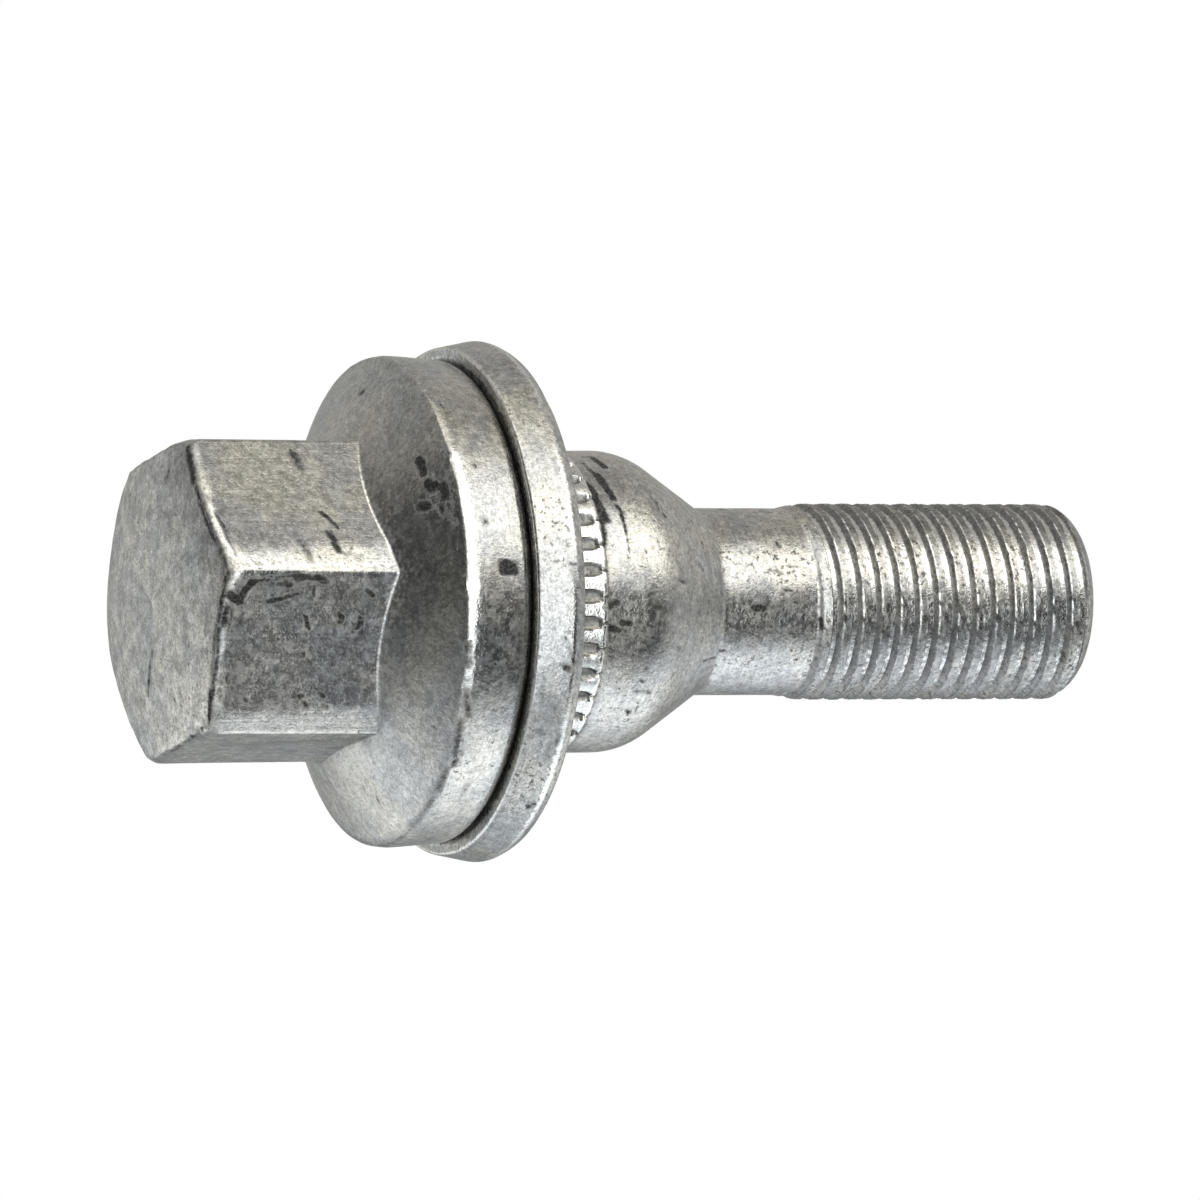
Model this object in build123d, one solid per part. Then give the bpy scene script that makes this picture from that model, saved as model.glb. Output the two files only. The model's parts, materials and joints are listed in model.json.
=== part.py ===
from build123d import *
import os
from math import atan, cos, degrees, radians, sin, sqrt, tan

# Wheel bolt with a captive washer, in millimetres.
# Its axis is Z. It stands on the crown of its head at z = 0, with the thread pointing up.

# Hexagon head
HEX_ACROSS_FLATS = 18.0
HEX_CORNER_RADIUS = 1.2
CROWN_RADIUS = 48.0
CROWN_LAND_DIAMETER = 8.0
CROWN_EDGE_CHAMFER = 0.4

# Flange: a sloping face around the hexagon, a slightly tapered rim and an underside rounded in bevels
HEAD_HEIGHT = 18.95
FLANGE_DIAMETER = 29.4
FLANGE_RIM_HEIGHT = 4.6
FLANGE_RIM_TAPER = 3.0
FLANGE_SLOPE = 29.0
FLANGE_EDGE_CHAMFER = 0.2
FLANGE_ROUND_WIDTH = 2.1
FLANGE_ROUND_HEIGHT = 1.8
FLANGE_ROUND_BEVELS = 3

# Captive washer, dished to take the rounded underside of the flange
WASHER_DIAMETER = 31.2
WASHER_THICKNESS = 3.0
WASHER_DISH_DEPTH = 0.5
WASHER_RIM_WIDTH = 1.1
WASHER_EDGE_CHAMFER = 0.4
WASHER_BORE_CHAMFER = 0.4
WASHER_BORE_CLEARANCE = 0.15
WASHER_FACE_CLEARANCE = 0.1
WASHER_DISH_CLEARANCE = 0.6
WASHER_FLOAT = 0.5

# Pilot, which centres the wheel, and the rolled band of teeth that keeps the washer on
PILOT_DIAMETER = 18.1
PILOT_LENGTH = 4.0
PILOT_ROUND = 4.8
BAND_LENGTH = 3.5
BAND_STANDS_PROUD = 0.3
BAND_GROOVES = 36
GROOVE_SIDES = 8
GROOVE_WIDTH = 0.9
GROOVE_DEPTH = 0.25
GROOVE_END_WALL = 0.3
GROOVE_OVERRUN = 0.15

# Cone, plain shank and thread, which is drawn at its major diameter
CONE_HALF_ANGLE = 34.0
CONE_ROOT_RADIUS = 0.8
SHANK_DIAMETER = 11.25
SHANK_LENGTH = 5.6
THREAD_DIAMETER = 11.85
THREAD_LENGTH = 18.9
THREAD_RUN_OUT = 1.2
TIP_CHAMFER_LENGTH = 1.3
TIP_CHAMFER_DEPTH = 0.9

# Radii that more than one shape uses
hex_corner_radius = HEX_ACROSS_FLATS / 2 / cos(radians(30))
flange_radius = FLANGE_DIAMETER / 2
underside_radius = flange_radius - FLANGE_RIM_HEIGHT * tan(radians(FLANGE_RIM_TAPER))
pilot_radius = PILOT_DIAMETER / 2
band_radius = pilot_radius + BAND_STANDS_PROUD
shank_radius = SHANK_DIAMETER / 2
thread_radius = THREAD_DIAMETER / 2

# Heights above the land of the crown
rim_z = HEAD_HEIGHT - FLANGE_RIM_HEIGHT
washer_z = HEAD_HEIGHT + WASHER_FACE_CLEARANCE
washer_rim_z = washer_z - WASHER_DISH_DEPTH
seat_z = washer_rim_z + WASHER_THICKNESS
band_z = seat_z + WASHER_FLOAT
band_end_z = band_z + BAND_LENGTH
cone_z = band_end_z + PILOT_LENGTH
shank_z = cone_z + (pilot_radius - shank_radius) / tan(radians(CONE_HALF_ANGLE))
thread_z = shank_z + SHANK_LENGTH
tip_z = thread_z + THREAD_LENGTH


def crown_height(radius):
    """Height of the spherical crown at a radius, measured from its flat land."""
    land_radius = CROWN_LAND_DIAMETER / 2
    return sqrt(CROWN_RADIUS**2 - land_radius**2) - sqrt(CROWN_RADIUS**2 - radius**2)


def turned(outline, rounds):
    """Turn a closed outline in (radius, height) about Z, with rounds on some of its corners."""
    section = make_face(outline)
    for point, radius in rounds:
        section = fillet(section.vertices().sort_by_distance(point)[0], radius)
    return revolve(Plane.XZ * section, Axis.Z)


def make_hex_head():
    """Hexagon with rounded corners, closed by a shallow crown with a flat land and a bevelled edge."""
    hexagon = RegularPolygon(HEX_ACROSS_FLATS / 2, 6, major_radius=False, rotation=30)
    hexagon = fillet(hexagon.vertices(), HEX_CORNER_RADIUS)

    land = (CROWN_LAND_DIAMETER / 2, 0)
    middle = (HEX_ACROSS_FLATS / 2, crown_height(HEX_ACROSS_FLATS / 2))
    brim = (hex_corner_radius, crown_height(hex_corner_radius))
    outline = ThreePointArc(land, middle, brim)
    outline += Polyline(brim, (hex_corner_radius, rim_z), (0, rim_z), (0, 0), land)
    crown = revolve(Plane.XZ * make_face(outline), Axis.Z)

    head = extrude(hexagon, rim_z) & crown
    crown_edges = head.edges().filter_by(
        lambda edge: edge.bounding_box().min.Z > crown_height(land[0] + HEX_CORNER_RADIUS)
        and edge.bounding_box().max.Z < brim[1]
    )
    return chamfer(crown_edges, CROWN_EDGE_CHAMFER)


def make_stem():
    """Flange, pilot, cone, shank and thread, turned as one outline from the head to the tip."""
    foot_radius = HEX_ACROSS_FLATS / 2 - HEX_CORNER_RADIUS
    slope_radius = flange_radius - FLANGE_EDGE_CHAMFER
    foot_z = rim_z - (slope_radius - foot_radius) * tan(radians(FLANGE_SLOPE))
    round_centre = (underside_radius - FLANGE_ROUND_WIDTH, HEAD_HEIGHT - FLANGE_ROUND_HEIGHT)
    bevel_angles = [radians(90 * step / FLANGE_ROUND_BEVELS) for step in range(FLANGE_ROUND_BEVELS + 1)]
    underside = [
        (round_centre[0] + FLANGE_ROUND_WIDTH * cos(angle), round_centre[1] + FLANGE_ROUND_HEIGHT * sin(angle))
        for angle in bevel_angles
    ]
    pilot_end = (pilot_radius, cone_z)
    cone_root = (shank_radius, shank_z)
    outline = Polyline(
        (0, tip_z),
        (0, foot_z),
        (foot_radius, foot_z),
        (slope_radius, rim_z),
        (flange_radius, rim_z + FLANGE_EDGE_CHAMFER),
        *underside,
        (pilot_radius, HEAD_HEIGHT),
        (pilot_radius, band_z),
        (band_radius, band_z),
        (band_radius, band_end_z),
        (pilot_radius, band_end_z),
        pilot_end,
        cone_root,
        (shank_radius, thread_z),
        (thread_radius, thread_z + THREAD_RUN_OUT),
        (thread_radius, tip_z - TIP_CHAMFER_LENGTH),
        (thread_radius - TIP_CHAMFER_DEPTH, tip_z),
        close=True,
    )
    rounds = [
        (pilot_end, PILOT_ROUND),
        (cone_root, CONE_ROOT_RADIUS),
    ]
    return turned(outline, rounds)


def make_band_groove():
    """Cutter for one groove of the band: a many-sided bar that leans outwards until it runs out."""
    groove_length = BAND_LENGTH - GROOVE_END_WALL
    lean = degrees(atan(GROOVE_DEPTH / groove_length))
    axis_radius = band_radius - GROOVE_DEPTH + GROOVE_WIDTH / 2
    section = RegularPolygon(GROOVE_WIDTH / 2, GROOVE_SIDES, major_radius=False, rotation=180 / GROOVE_SIDES)
    bar = Pos(0, 0, -GROOVE_OVERRUN) * extrude(section, 2 * groove_length)
    return Pos(axis_radius, 0, band_z) * Rot(0, lean, 0) * bar


def make_wheel_bolt():
    """The forged bolt in one piece: head, flange, toothed pilot, cone, shank and thread."""
    groove = make_band_groove()
    grooves = [turn * groove for turn in PolarLocations(0, BAND_GROOVES)]
    return make_hex_head() + make_stem() - grooves


def make_captive_washer():
    """Thick washer that turns on the pilot between the flange and the toothed band."""
    washer_radius = WASHER_DIAMETER / 2
    bore_radius = pilot_radius + WASHER_BORE_CLEARANCE
    dish_radius = underside_radius - FLANGE_ROUND_WIDTH + WASHER_DISH_CLEARANCE
    outline = Polyline(
        (bore_radius, washer_z),
        (dish_radius, washer_z),
        (washer_radius - WASHER_RIM_WIDTH, washer_rim_z),
        (washer_radius, washer_rim_z),
        (washer_radius, seat_z - WASHER_EDGE_CHAMFER),
        (washer_radius - WASHER_EDGE_CHAMFER, seat_z),
        (bore_radius + WASHER_BORE_CHAMFER, seat_z),
        (bore_radius, seat_z - WASHER_BORE_CHAMFER),
        close=True,
    )
    return turned(outline, [])


os.makedirs("parts", exist_ok=True)
export_step(make_wheel_bolt(), "parts/wheel_bolt.step")
export_step(make_captive_washer(), "parts/captive_washer.step")
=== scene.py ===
"""Wheel bolt with a captive washer: the dressed model, its studio and its camera."""

import json
import math

import bpy
import numpy as np
from mathutils import Matrix, Vector


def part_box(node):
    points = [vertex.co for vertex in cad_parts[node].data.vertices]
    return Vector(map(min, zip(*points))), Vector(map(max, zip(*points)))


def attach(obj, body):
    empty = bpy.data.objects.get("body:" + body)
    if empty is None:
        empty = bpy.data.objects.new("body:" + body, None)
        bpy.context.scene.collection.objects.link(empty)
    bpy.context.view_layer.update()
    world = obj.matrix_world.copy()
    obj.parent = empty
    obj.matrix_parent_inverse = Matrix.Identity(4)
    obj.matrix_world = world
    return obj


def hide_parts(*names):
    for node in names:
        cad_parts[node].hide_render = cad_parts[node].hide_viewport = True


bl_info = {
    "name": "Wheel bolt",
    "version": (1, 0, 0),
    "blender": (4, 5, 0),
    "location": "3D View > Sidebar > Wheel bolt",
    "description": "Builds a worn steel wheel bolt with a captive washer around its solids",
    "category": "Object",
}

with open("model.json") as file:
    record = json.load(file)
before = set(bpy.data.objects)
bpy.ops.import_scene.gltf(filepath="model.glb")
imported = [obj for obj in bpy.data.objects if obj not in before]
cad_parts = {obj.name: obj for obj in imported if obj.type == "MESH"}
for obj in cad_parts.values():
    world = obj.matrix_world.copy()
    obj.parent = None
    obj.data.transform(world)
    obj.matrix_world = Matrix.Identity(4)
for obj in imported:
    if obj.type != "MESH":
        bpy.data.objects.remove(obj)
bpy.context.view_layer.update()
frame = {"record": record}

MM = 0.001
BOLT_LOW, BOLT_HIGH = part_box("wheel_bolt")
WASHER_LOW, WASHER_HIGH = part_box("captive_washer")
MOUNTS = {mount["name"]: mount for mount in frame["record"]["mounts"]}

# Columns of the grid: twelve for each tooth of the band, and a third of them along the thread
TEETH = 36
HEAD_COLUMNS = 12 * TEETH
THREAD_COLUMNS = HEAD_COLUMNS // 3
WASHER_COLUMNS = 288
# Rows of the grid, stretch by stretch from the crown to the shank
CROWN_ROWS = 15
BEVEL_ROWS = 7
FLAT_ROWS = 38
FOOT_ROWS = 6
SLOPE_ROWS = 12
LIP_ROWS = 6
RIM_ROWS = 5
UNDERSIDE_ROWS = 8
PILOT_ROWS = 14
PILOT_ROUND_ROWS = 8
CONE_ROWS = 13
CONE_ROOT_ROWS = 6
SHANK_RINGS = 10
# Edges that turn by more than this stay sharp
SHARP_ANGLE = math.radians(40)


# Settings that a user would change


def in_metres(name, description, default):
    """A setting in metres."""
    return bpy.props.FloatProperty(
        name=name, description=description, default=default, unit="LENGTH", precision=5)


def in_degrees(name, description, degrees):
    """A setting in degrees, kept in radians."""
    return bpy.props.FloatProperty(
        name=name, description=description, default=math.radians(degrees), subtype="ANGLE")


def as_colour(name, description, default):
    """A setting that is a colour."""
    return bpy.props.FloatVectorProperty(
        name=name, description=description, default=default, subtype="COLOR", size=3, min=0, max=1)


class BoltSizes(bpy.types.PropertyGroup):
    """Sizes of the bolt, in metres."""

    across_flats: in_metres("Across flats", "Width of the hexagon between two flats", 18.0 * MM)
    corner_radius: in_metres("Corner radius", "Rounding of the hexagon's six corners", 1.0 * MM)
    wear_angle: in_degrees(
        "Wear angle", "Turn of the facet that the spanner has worn beside each corner", 11.0)
    wear_width: in_metres("Wear width", "Distance from each corner to the start of its worn facet", 1.25 * MM)
    wear_spread: in_metres(
        "Wear spread", "How much wider the worn facets are at the flange than at the crown", 0.45 * MM)
    corner_drop: in_metres("Corner drop", "How much lower the crown's corners are than its dome", 0.3 * MM)
    crown_radius: in_metres("Crown radius", "Radius of the shallow dome that closes the head", 48.0 * MM)
    crown_land: in_metres("Crown land", "Width of the flat land in the middle of the crown", 8.0 * MM)
    crown_edge: in_metres("Crown edge", "Width of the worn bevel along the edge of the crown", 0.28 * MM)
    crown_bevel: in_metres("Crown bevel", "How far the worn bevel of the crown runs down the flats", 0.6 * MM)
    head_height: in_metres(
        "Head height", "Height of the head from its crown to the flange's underside", 18.95 * MM)
    flange_diameter: in_metres("Flange", "Diameter of the flange", 2 * BOLT_HIGH.x)
    flange_rim: in_metres("Flange rim", "Height of the flange's rim", 4.6 * MM)
    flange_slope: in_degrees("Flange slope", "Slope of the face between the hexagon and the rim", 29.0)
    flange_lip: in_metres("Flange lip", "Width of the worn edge on the sloping face", 0.2 * MM)
    lip_bevel: in_metres("Lip bevel", "How far the worn edge runs along the rim", 0.58 * MM)
    flange_taper: in_degrees("Rim taper", "Taper of the flange's rim towards the washer", 3.0)
    round_width: in_metres("Underside round width", "How far the flange's underside curves inwards", 2.1 * MM)
    round_height: in_metres(
        "Underside round height", "How far the flange's underside curves up its rim", 1.1 * MM)
    flange_blend: in_metres("Foot blend", "Blend between the hexagon and the flange", 0.2 * MM)
    pilot_diameter: in_metres(
        "Pilot", "Diameter of the plain pilot", 2 * MOUNTS["pilot"]["dims"]["r_mm"] * MM)
    band_start: in_metres(
        "Band start", "Height of the toothed band's end at the washer", WASHER_HIGH.z + 0.5 * MM)
    band_length: in_metres("Band length", "Length of the toothed band", 3.5 * MM)
    band_proud: in_metres("Band height", "How far the teeth stand proud of the pilot", 0.3 * MM)
    band_taper: in_metres(
        "Band taper", "How much lower the teeth are at the washer than at their other end", 0.36 * MM)
    groove_depth: in_metres("Groove depth", "Depth of the band's grooves at the washer", 0.38 * MM)
    groove_width: in_metres("Groove width", "Width of the band's grooves", 0.9 * MM)
    cone_start: in_metres(
        "Cone start", "Height where the pilot's line meets the cone's line", WASHER_HIGH.z + 8.0 * MM)
    cone_angle: in_degrees("Cone half angle", "Angle between the cone and the axis", 34.0)
    pilot_round: in_metres("Pilot round", "Rounding between the pilot and the cone", 4.8 * MM)
    cone_root: in_metres("Cone root", "Rounding between the cone and the shank", 0.8 * MM)
    shank_diameter: in_metres("Shank", "Diameter of the plain shank", 11.25 * MM)
    thread_start: in_metres("Thread start", "Height where the thread begins", BOLT_HIGH.z - 18.9 * MM)
    thread_diameter: in_metres(
        "Thread", "Major diameter of the thread", 2 * MOUNTS["thread"]["dims"]["r_mm"] * MM)
    thread_pitch: in_metres("Pitch", "Pitch of the thread", 1.25 * MM)
    thread_depth: in_metres("Thread depth", "Depth of the thread from crest to root", 0.34 * MM)
    tip_height: in_metres("Tip height", "Height of the thread's end", BOLT_HIGH.z)
    tip_chamfer: in_metres("Tip chamfer", "Length of the chamfer at the thread's end", 1.3 * MM)
    tip_depth: in_metres("Tip chamfer depth", "How far the chamfer goes in at the thread's end", 0.9 * MM)


class WasherSizes(bpy.types.PropertyGroup):
    """Sizes of the captive washer, in metres."""

    diameter: in_metres("Diameter", "Outer diameter of the washer", 2 * WASHER_HIGH.x)
    bottom: in_metres("Rim height", "Height of the washer's rim at the flange", WASHER_LOW.z)
    top: in_metres("Seat height", "Height of the washer's seat", WASHER_HIGH.z)
    bore_diameter: in_metres("Bore", "Diameter of the washer's bore", 18.4 * MM)
    dish_depth: in_metres("Dish depth", "Depth of the dish that takes the flange", 0.5 * MM)
    dish_radius: in_metres("Dish floor", "Radius of the dish's flat floor", 12.96 * MM)
    rim_width: in_metres("Rim width", "Width of the flat rim around the dish", 1.1 * MM)
    rim_draft: in_metres("Rim draft", "How much smaller the rim is at the flange than at the seat", 0.44 * MM)
    edge: in_metres("Edge", "Size of the worn bevels on the washer's edges", 0.4 * MM)


class SteelFinish(bpy.types.PropertyGroup):
    """Colours and gloss of the worn plating."""

    plating_warm: as_colour(
        "Warm plating", "Colour of the plating where it is a little yellowed", (0.60, 0.585, 0.55))
    plating_cool: as_colour("Cool plating", "Colour of the plating where it is fresh", (0.55, 0.56, 0.57))
    # The grime colour also paints the shade in the grooves, under the flange, in the washer and beside the
    # band
    grime: as_colour("Grime", "Colour of the black smears and pits", (0.012, 0.0115, 0.011))
    # The bare colour also paints highlights on edges and on the thread
    bare: as_colour("Bare steel", "Colour of the edges that are worn bright", (0.86, 0.86, 0.85))
    roughness: bpy.props.FloatProperty(
        name="Roughness", description="Mean roughness of the plating",
        default=0.24, subtype="FACTOR", min=0, max=1)


class StudioSettings(bpy.types.PropertyGroup):
    """Camera, floor and light tent."""

    view_turn: in_degrees("View turn", "Turn of the bolt about its axis, as the camera sees it", 12.0)
    view_slant: in_degrees("View slant", "How far the camera stands round towards the head", 23.0)
    camera_distance: in_metres("Camera distance", "Distance from the camera to the bolt's axis", 1.1)
    view_width: in_metres("View width", "Width of the picture at the bolt's axis", 71.86 * MM)
    view_height: in_metres("View point", "Height on the axis of the picture's middle", 28.88 * MM)
    view_lift: in_metres("View lift", "How far the camera stands above the axis in the picture", 0.1 * MM)
    floor_colour: as_colour("Floor", "Colour of the plain floor", (0.82, 0.82, 0.82))
    tent_radius: in_metres("Tent radius", "Radius of the round light tent", 2.0)
    tent_warm: as_colour(
        "Warm light", "Colour of the light from the tent's upper side in the picture", (1.0, 0.965, 0.87))
    tent_cool: as_colour(
        "Cool light", "Colour of the light from the tent's lower side in the picture", (0.90, 0.96, 1.0))


# Grids, faces and meshes


def bezier_corner(before, corner, after, steps):
    """Points of a quadratic curve that rounds a corner.

    Its start, its corner and its end have the weights (1 - t)^2, 2 t (1 - t) and t^2.
    """
    t = np.linspace(0, 1, steps)[:, None, None]
    weights = (1 - t) ** 2, 2 * t * (1 - t), t**2
    return sum(weight * np.stack(point)[None] for weight, point in zip(weights, (before, corner, after)))


def worn_corner(before, corner, after, steps):
    """Points of a corner worn half way down from a full rounding to a flat bevel."""
    wear_and_highlight = tuple(0.5 * middle + 0.25 * (start + end) for start, middle, end in zip(before, corner, after))
    return bezier_corner(before, wear_and_highlight, after, steps)


def ring_quads(first, rows, columns):
    """Quads between neighbouring rings of a grid that closes on itself around the axis."""
    row, column = np.meshgrid(np.arange(rows - 1), np.arange(columns), indexing="ij")
    turn = (column + 1) % columns
    low, high = first + row * columns, first + (row + 1) * columns
    return np.stack([low + column, low + turn, high + turn, high + column], -1).reshape(-1, 4)


def fan(centre, ring):
    """Triangles from one point below a closed ring, facing down."""
    return np.stack([np.full(len(ring), centre), np.roll(ring, -1), ring], -1)


def three_to_one(fine, coarse):
    """Triangles that join a ring to one with a third of its columns: four for each coarse edge."""
    first, second, third = fine[0::3], fine[1::3], fine[2::3]
    fourth, turn = np.roll(first, -1), np.roll(coarse, -1)
    faces = [(first, second, coarse), (second, turn, coarse), (second, third, turn), (third, fourth, turn)]
    return np.concatenate([np.stack(face, -1) for face in faces])


def new_piece(name, surface, material, sharp):
    """A mesh object at the origin, smooth but for its sharp edges.

    Its surface is points in metres, arrays of faces, and marks, which the material reads: numbers by vertex.
    """
    points, faces, marks = surface
    mesh = bpy.data.meshes.new(name)
    mesh.from_pydata(points, [], [face for block in faces for face in block.tolist()])
    mesh.polygons.foreach_set("use_smooth", np.ones(len(mesh.polygons), bool))
    mesh.set_sharp_from_angle(angle=sharp)
    mesh.validate()
    for mark, values in marks.items():
        attribute = mesh.attributes.new(mark, "FLOAT", "POINT")
        attribute.data.foreach_set("value", np.asarray(values, np.float32).ravel())
    mesh.materials.append(material)
    piece = bpy.data.objects.new(name, mesh)
    bpy.context.scene.collection.objects.link(piece)
    return piece


def joined(stretches):
    """Each stretch's values spread over its own grid, then put end to end, kind by kind."""
    grids = [np.broadcast_arrays(*stretch) for stretch in stretches]
    return [np.concatenate([values.ravel() for values in kind]) for kind in zip(*grids)]


def placed(radius, turn, height):
    """Points from their distance to the axis, their turn about it and their height."""
    return np.stack([radius * np.cos(turn), radius * np.sin(turn), height], -1).reshape(-1, 3)


def smooth_step(low, high, value):
    """0 below low, 1 above high, and 3t^2 - 2t^3 between them."""
    t = np.clip((value - low) / (high - low), 0, 1)
    return t * t * (3 - 2 * t)


def ripple(turn, height, waves, seed):
    """Low bumps in a surface: a sum of sines around the axis and along it, with seeded phases."""
    rng = np.random.default_rng(seed)
    total = np.zeros(np.broadcast(turn, height).shape)
    for around, along in waves:
        total = total + np.sin(around * turn + along * height / MM + rng.uniform(0, 2 * np.pi))
    return total / len(waves)


def ring_ripple(turn, waves, seed):
    """Low bumps along an edge: a sum of sines around the axis, with seeded phases."""
    return ripple(turn, 0, [(around, 0) for around in waves], seed)


def spot(height, turn, radius):
    """A point in millimetres from its height, its turn in degrees and its distance from the axis."""
    turn = math.radians(turn)
    return np.array((radius * math.cos(turn), radius * math.sin(turn), height))


def soft_spots(points, spots):
    """Sum of round spots: strength times exp(-(across / half width)^2 - (along / half length)^2).

    A spot is its place, half its length along the axis, half its width and its strength.
    """
    total = np.zeros(len(points))
    for *place, reach, width, strength in spots:
        gap = points / MM - spot(*place)
        across = (gap[:, 0] ** 2 + gap[:, 1] ** 2) / width**2
        total += strength * np.exp(-across - gap[:, 2] ** 2 / reach**2)
    return total


def soft_strokes(points, strokes):
    """The strongest stroke at each point: its strength times exp(-(distance / half width)^2).

    A stroke is the places of its two ends, half its width and its strength. The distance is to the line.
    """
    total = np.zeros(len(points))
    for *ends, width, strength in strokes:
        start, end = spot(*ends[:3]), spot(*ends[3:])
        way = end - start
        gap = points / MM - start
        share = np.clip(gap @ way / max(way @ way, 1e-9), 0, 1)
        distance = np.linalg.norm(gap - share[:, None] * way, axis=1)
        total = np.maximum(total, strength * np.exp(-((distance / width) ** 2)))
    return total


# Strewn strokes: their turns, half widths and strengths
FAR_TURNS = (15, 210)
STREWN_WIDTHS = (0.12, 0.35)
STREWN_STRENGTHS = (0.4, 1.1)


def strewn_strokes(places, count, seed):
    """Strokes at random on the side away from the camera.

    A place is its lowest height, its highest height and its radius.
    """
    rng = np.random.default_rng(seed)
    strokes = []
    for low, high, radius in np.array(places)[rng.integers(len(places), size=count)]:
        height, turn = rng.uniform(low, high), rng.uniform(*FAR_TURNS)
        reach, lean = rng.uniform(0, 1), rng.uniform(0, 2)
        end = (height + reach * math.cos(lean), turn + math.degrees(reach * math.sin(lean) / radius), radius)
        width, strength = rng.uniform(*STREWN_WIDTHS), rng.uniform(*STREWN_STRENGTHS)
        strokes.append((height, turn, radius, *end, width, strength))
    return strokes


# The bolt


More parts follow.
